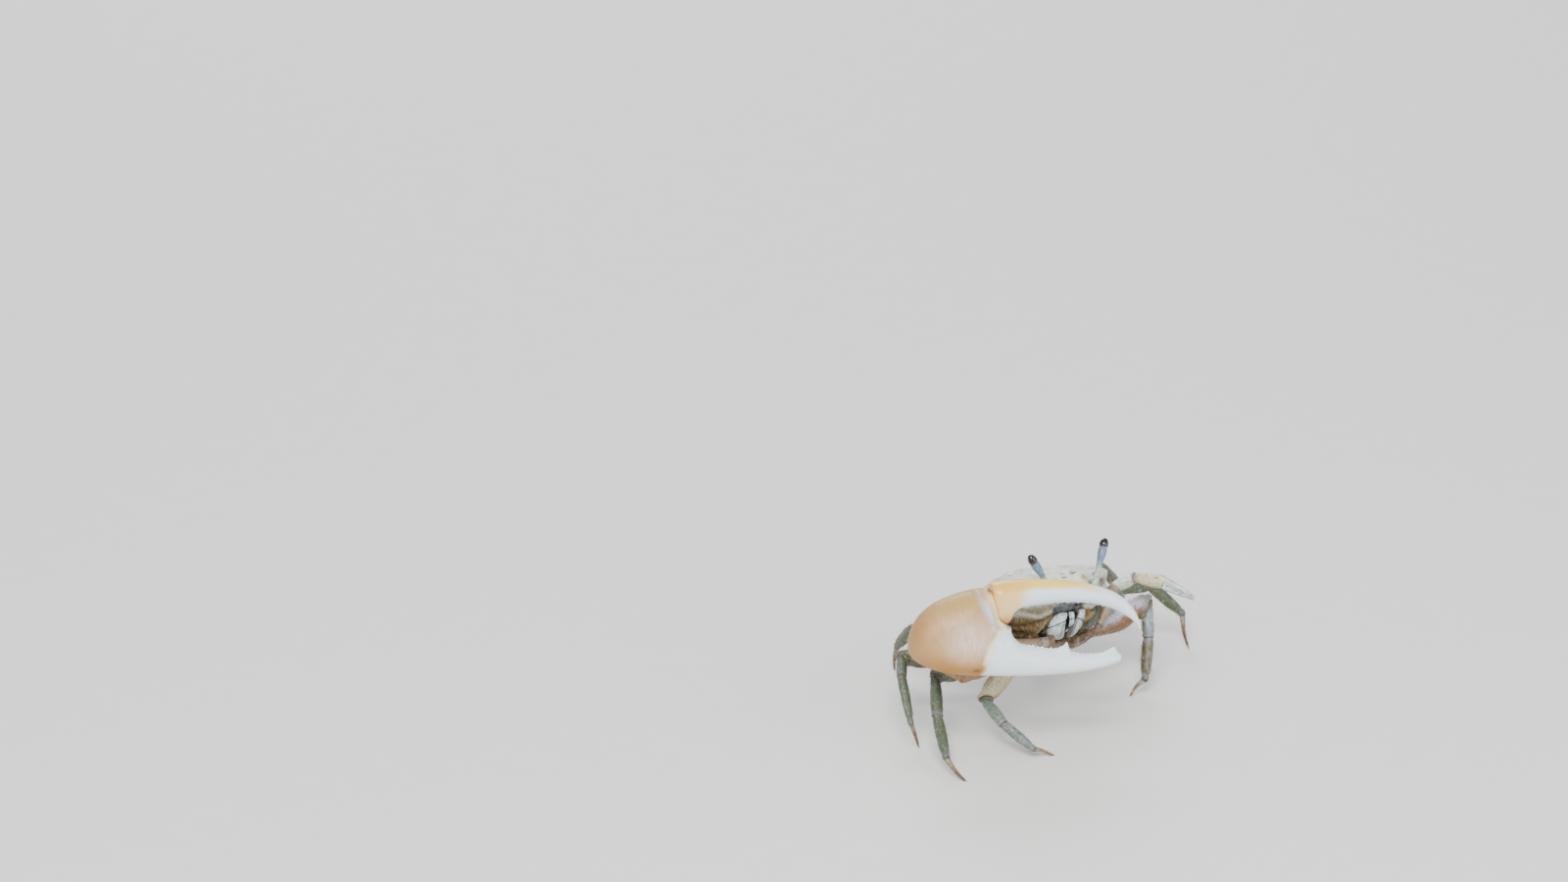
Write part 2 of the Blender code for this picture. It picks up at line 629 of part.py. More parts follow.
def thorax():
    """The breastplate under the shell, with the stubs that carry the ten limbs."""
    rings = []
    top = -BODY_DEPTH - GAP - BREASTPLATE_DROP
    turns = [2.0 * math.pi * i / BREASTPLATE_SIDES for i in range(BREASTPLATE_SIDES)]
    for drop, width, length in BREASTPLATE_RINGS:
        centre = Vector((0.0, BREASTPLATE_Y, top - drop))
        rings.append([centre + Vector((math.cos(turn) * width, math.sin(turn) * length, 0.0)) for turn in turns])
    plate = finish("breastplate", skin(rings), UNDERSIDE)
    inverse = BODY.inverted()
    stubs = []
    for side, knees in ((-1.0, RIGHT_KNEES), (1.0, LEFT_KNEES)):
        for n, knee in enumerate(knees):
            leaves = hip(side, n)
            root = Vector((leaves.x * 0.45, leaves.y * 0.92, top - HIP_ROOT_DEPTH))
            stubs.append(hip_stub(root, leaves, inverse @ Vector(knee) - leaves, LEG_HIP_RADIUS))
    arms = ((ARM_HIP, ARM_ELBOW, ARM_HIP_RADIUS), (SMALL_HIP, SMALL_ELBOW, SMALL_HIP_RADIUS))
    for joint, onward, radius in arms:
        leaves = inverse @ joint
        root = Vector((leaves.x * 0.6, ARM_ROOT_Y, top - HIP_ROOT_DEPTH))
        stubs.append(hip_stub(root, leaves, inverse @ onward - leaves, radius))
    boolean(plate, stubs, "UNION", "MANIFOLD")
    plate.matrix_world = in_metres(BODY)
    return plate


def abdomen():
    """The narrow tail flap, which turns under the body from the shell's back edge."""
    last = ABDOMEN_RINGS - 1
    centres = spline([Vector((0.0, y, z)) for y, z in ABDOMEN_PATH], [n / last for n in range(ABDOMEN_RINGS)])
    wide, narrow = ABDOMEN_HALF_WIDTHS
    turns = [2.0 * math.pi * i / 8 for i in range(8)]
    rings = []
    for n, centre in enumerate(centres):
        share = n / last
        ahead = centres[min(n + 1, last)] - centres[max(n - 1, 0)]
        out = Vector((0.0, ahead.z, -ahead.y)).normalized()
        at_joint = n % ABDOMEN_JOINT_EVERY == 0
        half = (wide + (narrow - wide) * share) * (0.96 if at_joint else 1.0) * (0.45 if n == last else 1.0)
        thick = ABDOMEN_HALF_THICKNESS * (0.90 if at_joint else 1.0)
        across = Vector((half, 0.0, 0.0))
        ring = [centre + across * math.cos(turn) - out * (math.sin(turn) * thick) for turn in turns]
        rings.append(ring)
    return finish("abdomen", skin(rings), UNDERSIDE, BODY)


def mouth_plate(side, name):
    """One of the two plates that close the mouth like a pair of doors, curved back towards its outer edge."""
    down = MOUTH_BOTTOM - MOUTH_TOP
    out = Vector((0.0, down.z, -down.y)).normalized()
    rings = []
    for share, inner, outer, thick in MOUTH_PLATE:
        ring = []
        for turn in (2.0 * math.pi * i / 12 for i in range(12)):
            x = (inner + outer) / 2.0 + math.cos(turn) * (outer - inner) / 2.0
            proud = math.sin(turn) * thick - MOUTH_CURVE * x * x
            ring.append(MOUTH_TOP + down * share + Vector((x * side, 0.0, 0.0)) + out * proud)
        rings.append(ring)
    return finish(name, skin(rings), MOUTH, BODY)


def eyestalk(side, reach, name):
    """An eyestalk and the eye that caps it, as two nodes."""
    base = Vector((EYESTALK_BASE.x * side, EYESTALK_BASE.y, EYESTALK_BASE.z))
    tip = base + reach
    split = base.lerp(tip, 1.0 - EYE_SHARE)
    axis = reach.normalized()
    sideways = Vector((0.0, 1.0, 0.0))
    rings = between_planes(base, split, axis, axis, sideways, STALK_SIZES, start_gap=0.0)
    finish("eyestalk_" + name, skin(rings), STALK, BODY)
    rings = between_planes(split, tip, axis, axis, sideways, EYE_SIZES, end_gap=0.0, sides=10)
    finish("eye_" + name, skin(rings), EYE, BODY)


def antenna(side, name):
    """A short feeler beside the inner end of the orbit."""
    base = Vector((FEELER_BASE[0] * side, FEELER_BASE[1], FEELER_BASE[2]))
    path = [base + Vector((x * side, y, z)) for x, y, z in FEELER_PATH]
    last = FEELER_RINGS - 1
    centres = spline(path, [n / last for n in range(FEELER_RINGS)])
    thick, thin = FEELER_RADII
    turns = [math.pi * i / 3 for i in range(6)]
    rings = []
    for n, centre in enumerate(centres):
        ahead = (centres[min(n + 1, last)] - centres[max(n - 1, 0)]).normalized()
        across = ahead.orthogonal().normalized()
        other = ahead.cross(across)
        radius = thick + (thin - thick) * n / last
        rings.append([centre + (across * math.cos(turn) + other * math.sin(turn)) * radius for turn in turns])
    return finish("antenna_" + name, skin(rings), MOUTH, BODY)


def walking_legs(side, name, knees, toes, bows, lengths, wrists):
    """The four walking legs of one side, each in four named segments."""
    for n, order in enumerate(LEG_NAMES):
        leaves = BODY @ hip(side, n)
        knee = Vector(knees[n])
        toe = Vector((*toes[n], 0.0))
        joints = [leaves] + bent_chain(knee, toe, lengths[n], Vector(bows[n]), wrists[n])
        plane_side = (toe - knee).cross(Vector(bows[n])).normalized()
        limb(
            "leg_" + name + "_" + order, ("merus", "carpus", "propodus", "dactyl"), joints,
            (UPPER_LEG, CARPUS, PROPODUS, DACTYL), (LEG, LEG, LEG, LEG),
            (Vector((0.0, 1.0, 0.0)), plane_side, plane_side, plane_side), Vector((0.0, 0.0, -1.0)),
            last_gap=0.0, steps=LEG_RINGS,
        )


def rail_sections(sections, sides):
    """Rings through claw sections, each hung between its top and bottom point."""
    rings = []
    for (top_x, top_z), (low_x, low_z), outer, inner, square in sections:
        top, low = Vector((top_x, 0.0, top_z)), Vector((low_x, 0.0, low_z))
        centre, half = (top + low) / 2.0, (top - low) / 2.0
        ring = []
        for i in range(sides):
            turn = 2.0 * math.pi * i / sides
            rise = math.copysign(abs(math.sin(turn)) ** square, math.sin(turn))
            bulge = math.copysign(abs(math.cos(turn)) ** square, math.cos(turn))
            ring.append(centre + half * rise + Vector((0.0, bulge * (inner if bulge > 0.0 else outer), 0.0)))
        rings.append(ring)
    return rings


def tooth(place, towards, radius, height):
    """A blunt cone sunk in a claw's biting edge."""
    start = place - towards * (height * TOOTH_SUNK)
    return stub("tooth", start, place + towards * height, radius, radius * 0.35, CLAW_FINGER)


def teeth_along(edge, count, towards, radius, height):
    """Even small teeth along a biting edge, a little smaller towards its tip."""
    made = []
    for n in range(count):
        share = (n + 0.5) / count
        place = spline(edge, [share])[0]
        shrink = 1.0 - 0.3 * share
        made.append(tooth(place, towards, radius * shrink, height * shrink))
    return made


def large_claw():
    """The palm with its fixed finger, and the movable finger that closes on it."""
    palm = finish("large_claw_palm", skin(rail_sections(PALM_SECTIONS, CLAW_SIDES)), CLAW_PALM)
    edge = [Vector((x, 0.0, z)) for (x, z), *_ in PALM_SECTIONS[11:17]]
    up = Vector((0.0, 0.0, 1.0))
    teeth = teeth_along(edge, PALM_TEETH, up, TOOTH_RADIUS, TOOTH_HEIGHT)
    for (x, z), size in BIG_TEETH:
        teeth.append(tooth(Vector((x, 0.0, z)), up, BIG_TOOTH_RADIUS * size, BIG_TOOTH_HEIGHT * size))
    boolean(palm, teeth, "UNION")
    palm.matrix_world = in_metres(CLAW)
    finger = finish("large_claw_finger", skin(rail_sections(FINGER_SECTIONS, CLAW_SIDES)), CLAW_FINGER)
    edge = [Vector((x, 0.0, z)) for _, (x, z), *_ in FINGER_SECTIONS[2:9]]
    boolean(finger, teeth_along(edge, FINGER_TEETH, -up, TOOTH_RADIUS, TOOTH_HEIGHT), "UNION")
    finger.matrix_world = in_metres(CLAW)


def large_claw_arm():
    """The deep upper arm and the carpus that joins it to the palm's heel."""
    joints = [ARM_HIP, ARM_ELBOW, ARM_WRIST]
    plane_side = Vector((-0.3, -1.0, 0.2)).normalized()
    limb(
        "large_claw", ("merus", "carpus"), joints, (ARM_UPPER, ARM_CARPUS), (CLAW_PALM, CLAW_PALM),
        (plane_side, plane_side),
        (ARM_WRIST - ARM_ELBOW).normalized(), steps=(9, 7),
    )


def small_claw():
    """The small feeding claw: upper arm, carpus, palm with its fixed finger, and movable finger."""
    palm_end = SMALL_WRIST.lerp(SMALL_TIP, SMALL_PALM_SHARE) + SMALL_ARCH
    joints = [SMALL_HIP, SMALL_ELBOW, SMALL_WRIST, palm_end]
    forward = (SMALL_TIP - palm_end).normalized()
    side = Vector((1.0, 0.2, 0.1)).normalized()
    made = limb(
        "small_claw", ("merus", "carpus", "palm"), joints, (SMALL_UPPER, SMALL_CARPUS, SMALL_PALM),
        (SMALL_CLAW, SMALL_CLAW, SMALL_CLAW), (side, side, side), forward, last_gap=0.0, steps=(7, 5, 6),
    )
    up = (side - forward * side.dot(forward)).normalized().cross(forward)
    ahead, rise = SMALL_FIXED_START
    root = palm_end + forward * ahead - up * rise
    tip = SMALL_TIP - up * SMALL_TIP_RISE
    rings = between_planes(root, tip, forward, forward, side, SMALL_FINGER, steps=6)
    boolean(made[2], [finish("fixed_finger", skin(rings), SMALL_CLAW)], "UNION")
    ahead, rise = SMALL_MOVABLE_START
    root = palm_end + forward * ahead + up * rise
    tip = SMALL_TIP + up * SMALL_TIP_RISE
    rings = between_planes(root, tip, forward, forward, side, SMALL_FINGER, steps=6, start_gap=0.0)
    finish("small_claw_finger", skin(rings), SMALL_CLAW)


def centre_over_floor():
    """Hangs every part from one empty and moves it so that the model's own middle is at the origin."""
    bpy.context.view_layer.update()
    corners = [o.matrix_world @ v.co for o in parts.objects if o.type == "MESH" for v in o.data.vertices]
    lows = [min(c[n] for c in corners) for n in range(3)]
    highs = [max(c[n] for c in corners) for n in range(3)]
    root = bpy.data.objects.new("crab", None)
    meshes = [o for o in parts.objects if o.type == "MESH"]
    parts.objects.link(root)
    for part in meshes:
        part.parent = root
    root.location = (-(lows[0] + highs[0]) / 2.0, -(lows[1] + highs[1]) / 2.0, 0.0)


for old in list(bpy.data.objects):
    bpy.data.objects.remove(old)
parts = bpy.data.collections.new("fiddler_crab")
bpy.context.scene.collection.children.link(parts)
carapace()
thorax()
abdomen()
mouth_plate(1.0, "mouth_plate_left")
mouth_plate(-1.0, "mouth_plate_right")
eyestalk(1.0, EYESTALK_LEFT, "left")
eyestalk(-1.0, EYESTALK_RIGHT, "right")
antenna(1.0, "left")
antenna(-1.0, "right")
walking_legs(-1.0, "right", RIGHT_KNEES, RIGHT_TOES, RIGHT_BOWS, RIGHT_LOWER, RIGHT_WRISTS)
walking_legs(1.0, "left", LEFT_KNEES, LEFT_TOES, LEFT_BOWS, LEFT_LOWER, LEFT_WRISTS)
large_claw()
large_claw_arm()
small_claw()
centre_over_floor()
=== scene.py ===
"""The looks of a male fiddler crab, life size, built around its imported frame.

Sizes are millimetres, and MM turns them into metres. The crab faces -Y, its own left is +X.
"""

import json
import math

import bpy
import numpy as np
from mathutils import Matrix, Vector, noise
from mathutils.kdtree import KDTree


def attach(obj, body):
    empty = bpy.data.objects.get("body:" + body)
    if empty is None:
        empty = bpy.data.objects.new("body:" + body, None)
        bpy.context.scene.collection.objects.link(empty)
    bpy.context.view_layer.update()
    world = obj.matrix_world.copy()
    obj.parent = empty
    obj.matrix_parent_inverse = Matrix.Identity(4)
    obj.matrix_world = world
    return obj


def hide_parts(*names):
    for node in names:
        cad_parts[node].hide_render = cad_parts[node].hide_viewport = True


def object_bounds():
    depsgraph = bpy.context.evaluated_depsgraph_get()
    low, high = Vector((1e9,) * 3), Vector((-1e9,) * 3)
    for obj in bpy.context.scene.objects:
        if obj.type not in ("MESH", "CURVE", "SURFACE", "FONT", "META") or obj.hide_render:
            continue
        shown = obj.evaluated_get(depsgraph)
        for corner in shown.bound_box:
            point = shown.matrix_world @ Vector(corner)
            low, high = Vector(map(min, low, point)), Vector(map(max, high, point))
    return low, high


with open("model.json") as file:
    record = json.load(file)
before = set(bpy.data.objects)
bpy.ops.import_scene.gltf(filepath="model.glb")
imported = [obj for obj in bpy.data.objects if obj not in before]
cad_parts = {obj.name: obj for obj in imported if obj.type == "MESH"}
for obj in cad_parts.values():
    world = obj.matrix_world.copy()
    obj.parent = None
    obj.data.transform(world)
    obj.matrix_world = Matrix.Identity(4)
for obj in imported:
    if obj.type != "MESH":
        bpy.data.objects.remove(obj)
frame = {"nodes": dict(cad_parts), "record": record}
cad_low, cad_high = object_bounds()

MM = 0.001

# The body's and the large claw's own frames, as in the part, before the part was centred.
PITCH = math.radians(16.0)
ROLL = math.radians(12.5)
RIDE_HEIGHT = 15.5
CLAW_CENTRE = Vector((-17.9, -4.9, 16.55))
CLAW_YAW = math.radians(-37.0)
CLAW_PITCH = math.radians(5.0)
CLAW_TILT = math.radians(-16.0)
# How the large arm moves near its root and its elbow: the place before the part was centred, the shift
# and the reach.
ARM_SHIFTS = (
    (Vector((-6.8, -7.1, 12.2)), (0.0, 0.35, -0.75), 2.3),
    (Vector((-15.2, -2.2, 10.6)), (-0.50, 0.55, -0.60), 2.8),
)
# The toe that the standing mount names, before the part was centred. The mount tells where it is now.
MOUNT_TOE = Vector((-23.1, -9.3, 0.0))
SHIFT = Vector(frame["record"]["mounts"][0]["pos_m"]) / MM - MOUNT_TOE
CENTRED = Matrix.Translation(SHIFT)
BODY = (
    CENTRED
    @ Matrix.Translation((0.0, 0.0, RIDE_HEIGHT))
    @ Matrix.Rotation(ROLL, 4, "Y")
    @ Matrix.Rotation(-PITCH, 4, "X")
)
CLAW = (
    CENTRED
    @ Matrix.Translation(CLAW_CENTRE)
    @ Matrix.Rotation(CLAW_YAW, 4, "Z")
    @ Matrix.Rotation(CLAW_PITCH, 4, "Y")
    @ Matrix.Rotation(CLAW_TILT, 4, "X")
)

# The photo's view: where the body's own origin falls in the frame, and how large a millimetre is there.
PHOTO_WIDTH = 1600.0
PHOTO_HEIGHT = 900.0
BODY_PIXEL = (1055.5, 592.0)
PIXELS_A_MM = 8.4
CAMERA_RISE = math.radians(25.0)
CAMERA_TURN = math.radians(48.0)
CAMERA_DISTANCE = 1.2
SENSOR_WIDTH = 36.0

# Each light: its place in metres, its size, its power and its colour.
LIGHTS = {
    "key": ((-0.30, -0.22, 0.42), 0.26, 3.5, (1.0, 0.985, 0.96)),
    "fill": ((0.05, -0.50, 0.20), 0.40, 1.3, (0.90, 0.95, 1.0)),
    "rim": ((0.25, 0.35, 0.35), 0.30, 1.7, (0.95, 0.98, 1.0)),
}
SKY_COLOUR = (0.95, 0.97, 1.0, 1.0)
SKY_STRENGTH = 0.60
FLOOR_COLOUR = (0.82, 0.815, 0.80)

FLOOR_SIZE = 3.0
# Where every light points, in metres.
LIGHT_AIM = Vector((0.0, 0.0, 0.01))

# Corners closer than the gap are one corner, and pieces keep the margin to the sides and the top of the
# part's box, in metres.
CORNER_GAP = 0.000002
MARGIN = 0.00001
# A bend sharper than this is bevelled.
SHARP = math.radians(55.0)

chance = np.random.default_rng(20)


# Camera, floor and light

def in_scene(name, data):
    """A new object in the scene."""
    made = bpy.data.objects.new(name, data)
    bpy.context.scene.collection.objects.link(made)
    return made


def camera():
    """A long lens at the photo's height and direction, with the crab where the photo has it."""
    flat = math.cos(CAMERA_RISE)
    back = Vector((-flat * math.sin(CAMERA_TURN), -flat * math.cos(CAMERA_TURN), math.sin(CAMERA_RISE)))
    right = Vector((math.cos(CAMERA_TURN), -math.sin(CAMERA_TURN), 0.0))
    up = back.cross(right)
    aside = (PHOTO_WIDTH / 2.0 - BODY_PIXEL[0]) / PIXELS_A_MM
    above = (BODY_PIXEL[1] - PHOTO_HEIGHT / 2.0) / PIXELS_A_MM
    centre = (BODY.translation + right * aside + up * above) * MM
    lens = bpy.data.cameras.new("camera")
    lens.sensor_width = SENSOR_WIDTH
    lens.lens = SENSOR_WIDTH * CAMERA_DISTANCE / (PHOTO_WIDTH / PIXELS_A_MM * MM)
    lens.clip_start = 0.01
    lens.clip_end = 20.0
    made = in_scene("camera", lens)
    turn = Matrix((right, up, back)).transposed().to_4x4()
    made.matrix_world = Matrix.Translation(centre + back * CAMERA_DISTANCE) @ turn
    bpy.context.scene.camera = made


def area_light(name, place, size, power, colour):
    """A soft square light that faces the crab."""
    light = bpy.data.lights.new(name, "AREA")
    light.shape = "SQUARE"
    light.size = size
    light.energy = power
    light.color = colour
    turn = (LIGHT_AIM - Vector(place)).to_track_quat("-Z", "Y").to_matrix().to_4x4()
    in_scene(name, light).matrix_world = Matrix.Translation(place) @ turn


def studio():
    """A pale floor, a soft key from above the camera, a weak fill from its right, and a rim from behind."""
    nothing_selected()
    bpy.ops.mesh.primitive_plane_add(size=FLOOR_SIZE, location=(0.0, 0.0, 0.0))
    floor = bpy.context.object
    floor.name = "floor"
    floor.data.materials.append(floor_material())
    for name, settings in LIGHTS.items():
        area_light(name, *settings)
    world = bpy.data.worlds.new("studio")
    bpy.context.scene.world = world
    world.use_nodes = True
    sky = world.node_tree.nodes["Background"]
    sky.inputs["Color"].default_value = SKY_COLOUR
    sky.inputs["Strength"].default_value = SKY_STRENGTH


# Small helpers for modelling

def nothing_selected():
    """Leaves edit mode and deselects every object."""
    if bpy.context.object and bpy.context.object.mode != "OBJECT":
        bpy.ops.object.mode_set(mode="OBJECT")
    bpy.ops.object.select_all(action="DESELECT")


def only(piece):
    """Selects one object and makes it the active one."""
    nothing_selected()
    bpy.context.view_layer.objects.active = piece
    piece.select_set(True)


def modified(piece, kind, **settings):
    """Adds a modifier and applies it."""
    only(piece)
    modifier = piece.modifiers.new(kind.lower(), kind)
    for key, value in settings.items():
        setattr(modifier, key, value)
    bpy.ops.object.modifier_apply(modifier=modifier.name)


def merged_copy(node, name):
    """A copy of a node's mesh with its corners merged, free of the frame and ready to be shaped."""
    piece = in_scene(name, frame["nodes"][node].data.copy())
    piece.data.materials.clear()
    only(piece)
    bpy.ops.mesh.customdata_custom_splitnormals_clear()
    bpy.ops.object.mode_set(mode="EDIT")
    bpy.ops.mesh.select_all(action="SELECT")
    bpy.ops.mesh.remove_doubles(threshold=CORNER_GAP)
    bpy.ops.mesh.tris_convert_to_quads(face_threshold=math.radians(50.0), shape_threshold=math.radians(60.0))
    bpy.ops.object.mode_set(mode="OBJECT")
    return piece


def fine_copy(node, ending, voxel, rounds, bevel=0.0, rounded=False):
    """A dense, even and softened copy of a node, named after it, to be shaped point by point."""
    piece = merged_copy(node, node + ending)
    if bevel:
        modified(piece, "BEVEL", width=bevel * MM, segments=2, limit_method="ANGLE", angle_limit=SHARP)
    if bevel or rounded:
        modified(piece, "SUBSURF", levels=2, render_levels=2)
    modified(piece, "REMESH", mode="VOXEL", voxel_size=voxel * MM, adaptivity=0.0)
    modified(piece, "SMOOTH", factor=0.5, iterations=rounds)
    smooth_shaded(piece)
    return piece


def smooth_shaded(piece):
    """Shades a piece smooth."""
    only(piece)
    bpy.ops.object.shade_smooth()


def vectors_of(rows, name):
    """One vector of each point or face, as an array."""
    found = np.empty(len(rows) * 3, np.float32)
    rows.foreach_get(name, found)
    return found.reshape(-1, 3).astype(np.float64)


def points_of(piece):
    """The piece's points, in metres."""
    return vectors_of(piece.data.vertices, "co")


def normals_of(piece):
    """The piece's point normals."""
    return vectors_of(piece.data.vertex_normals, "vector")


def set_points(piece, co):
    """Moves the piece's points to the places given, in metres."""
    piece.data.vertices.foreach_set("co", co.astype(np.float32).ravel())
    piece.data.update()


def shifted(piece, way, reach):
    """Moves each point along a way, by its own reach in millimetres."""
    set_points(piece, points_of(piece) + way * (reach * MM)[:, None])


def raised(piece, height):
    """Moves each point out along its normal by a height in millimetres."""
    shifted(piece, normals_of(piece), height)


def places_of(piece, place):
    """The piece's points as millimetres in a frame."""
    inverse = np.array(place.inverted())
    return points_of(piece) / MM @ inverse[:3, :3].T + inverse[:3, 3]


def set_places(piece, place, places):
    """Moves the piece's points to places in a frame."""
    turned = np.array(place)
    set_points(piece, (places @ turned[:3, :3].T + turned[:3, 3]) * MM)


def bump_at(values, centre, width):
    """A smooth hump of height 1 at the centre."""
    return np.exp(-((values - centre) / width) ** 2)


def spot_at(u, v, centre, widths):
    """A smooth round hump of height 1 at a centre in two directions."""
    return np.exp(-((u - centre[0]) / widths[0]) ** 2 - ((v - centre[1]) / widths[1]) ** 2)


def step_at(values, start, end):
    """A smooth step from 0 at the start to 1 at the end. The end may lie below the start."""
    share = np.clip((values - start) / (end - start), 0.0, 1.0)
    return share * share * (3.0 - 2.0 * share)


def noise_at(places, size, offset=0.0):
    """Smooth noise about 0 at each place, with lumps of about the size given."""
    shift = Vector((offset, offset * 1.7, -offset))
    return np.array([noise.noise(Vector(p) / size + shift) for p in places])


def cells_at(places, size):
    """How close each place is to the middle of its own cell: 1 in the middle, 0 at the border."""
    gaps = []
    for place in places:
        distances, _ = noise.voronoi(Vector(place) / size)
        gaps.append(distances[1] - distances[0])
    return np.clip(np.array(gaps) * 1.6, 0.0, 1.0)


def gap_to(places, line):
    """How far each place is from a bent line."""
    line = np.array(line, float)
    gap = np.full(len(places), np.inf)
    for start, end in zip(line, line[1:]):
        reach = end - start
        share = np.clip((places - start) @ reach / (reach @ reach), 0.0, 1.0)
        gap = np.minimum(gap, np.linalg.norm(places - start - share[:, None] * reach, axis=1))
    return gap


def on_line(line, shares):
    """Points at shares along a bent line."""
    line = np.array(line, float)
    steps = np.arange(len(line)) / (len(line) - 1)
    return np.stack([np.interp(shares, steps, line[:, n]) for n in range(3)], axis=1)


def tree_of(points):
    """A search tree of points."""
    tree = KDTree(len(points))
    for n, point in enumerate(points):
        tree.insert(point, n)
    tree.balance()
    return tree


def nearest(points, wanted):
    """For each wanted place, the number of the nearest of the points."""
    tree = tree_of(points)
    return np.array([tree.find(place)[1] for place in wanted])


def keep_values(piece, **kept):
    """Stores numbers or vectors for each point, which the materials read."""
    for name, values in kept.items():
        vectors = values.ndim == 2
        made = piece.data.attributes.new(name, "FLOAT_VECTOR" if vectors else "FLOAT", "POINT")
        made.data.foreach_set("vector" if vectors else "value", values.astype(np.float32).ravel())


def inside_cad(piece):
    """Keeps a piece on or above the floor and within the part's own box."""
    low = np.array(cad_low) + MARGIN
    high = np.array(cad_high) - MARGIN
    low[2] = max(low[2] - MARGIN, 0.0)
    set_points(piece, np.clip(points_of(piece), low, high))


def dressed(piece, look, slot, *nodes):
    """Gives a finished piece its material, its body and the nodes that it stands for. The slot is not used.
    """
    piece.data.materials.clear()
    piece.data.materials.append(look)
    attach(piece, "root")
    if nodes:
        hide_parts(*nodes)


def joined(pieces, name):
    """Joins pieces into one object with this name."""
    nothing_selected()
    for piece in pieces:
        piece.select_set(True)
    bpy.context.view_layer.objects.active = pieces[0]
    bpy.ops.object.join()
    made = bpy.context.object
    made.name = name
    made.data.name = name
    return made


def ball(segments, rings):
    """A round ball of radius 1 at the origin."""
    nothing_selected()
    bpy.ops.mesh.primitive_uv_sphere_add(segments=segments, ring_count=rings, radius=1.0)
    return bpy.context.object


def beads(name, centres, radii):
    """Small round beads in metres, modelled once and copied, joined as one piece."""
    first = ball(10, 6)
    made = []
    for centre, radius in zip(centres, radii):
        bead = in_scene(name, first.data.copy())
        bead.data.transform(Matrix.Translation(centre) @ Matrix.Scale(radius * MM, 4))
        made.append(bead)
    bpy.data.objects.remove(first)
    piece = joined(made, name)
    smooth_shaded(piece)
    return piece


# Each bristle has three rings of three points and a tip: the shares along it and its thickness there.
BRISTLE_SHARES = (0.0, 0.4, 0.75)
BRISTLE_TAPER = (1.0, 0.8, 0.5)
RING = 3
# The size of a bristle's patch on the map, and a direction that no bristle has.
PATCH = 0.003
ASIDE = (0.31, 0.52, 0.79)


def bristle_faces():
    """The faces of one bristle, by the numbers of its points."""
    faces = []
    for ring in (0, RING):
        for corner in range(RING):
            after = (corner + 1) % RING
            faces.append((ring + corner, ring + after, ring + RING + after, ring + RING + corner))
    last, tip = 2 * RING, 3 * RING
    return faces + [(last + corner, last + (corner + 1) % RING, tip) for corner in range(RING)]


def bristles(name, roots, ways, droops, lengths, radii, unwrap):
    """Tapering bent bristles as one piece. Each has a small patch of the map OFBake at its root's place."""
    lengths = lengths[:, None]
    ways = ways / np.linalg.norm(ways, axis=1)[:, None]
    across = np.cross(ways, ASIDE)
    across /= np.linalg.norm(across, axis=1)[:, None]
    other = np.cross(ways, across)
    columns = []
    for share, taper in zip(BRISTLE_SHARES, BRISTLE_TAPER):
        centre = roots + (ways * share + droops * share ** 2) * lengths * MM
        for corner in range(RING):
            turn = math.tau * corner / RING
            offset = across * math.cos(turn) + other * math.sin(turn)
            columns.append(centre + offset * (radii * taper * MM)[:, None])
    columns.append(roots + (ways + droops) * lengths * MM)
    count = len(columns)
    points = np.stack(columns, axis=1).reshape(-1, 3)
    pattern = np.arange(len(roots))[:, None] * count
    faces = [row for face in bristle_faces() for row in (pattern + np.array(face)).tolist()]
    mesh = bpy.data.meshes.new(name)
    mesh.from_pydata([tuple(p) for p in points], [], faces)
    piece = in_scene(name, mesh)
    smooth_shaded(piece)
    shares = np.array([share for share in BRISTLE_SHARES for _ in range(RING)] + [1.0])
    keep_values(piece, along=np.tile(shares, len(roots)))
    corners = np.arange(count) % RING / RING
    patch = np.stack([np.tile(corners, len(roots)), np.tile(shares, len(roots))], axis=1) * PATCH
    places = np.repeat(unwrap, count, axis=0) + patch
    layer = piece.data.uv_layers.new(name="OFBake")
    loops = np.empty(len(piece.data.loops), np.int32)
    piece.data.loops.foreach_get("vertex_index", loops)
    layer.data.foreach_set("uv", places[loops].astype(np.float32).ravel())
    inside_cad(piece)
    return piece


# Helpers for materials

def linear(red, green, blue, dim=1.0):
    """A colour seen on a screen, from 0 to 255, as the light that the shader needs, dimmed to a share."""
    parts = []
    for value in (red / 255.0, green / 255.0, blue / 255.0):
        parts.append((value / 12.92 if value <= 0.04045 else ((value + 0.055) / 1.055) ** 2.4) * dim)
    return (*parts, 1.0)


def colour_of(value):
    """A screen colour as the shader needs it. A socket or a colour of four numbers stays as it is."""
    return linear(*value) if isinstance(value, tuple) and len(value) == 3 else value


def grey(level):
    """A number as a colour, to be blended as colours are."""
    return (level, level, level, 1.0)


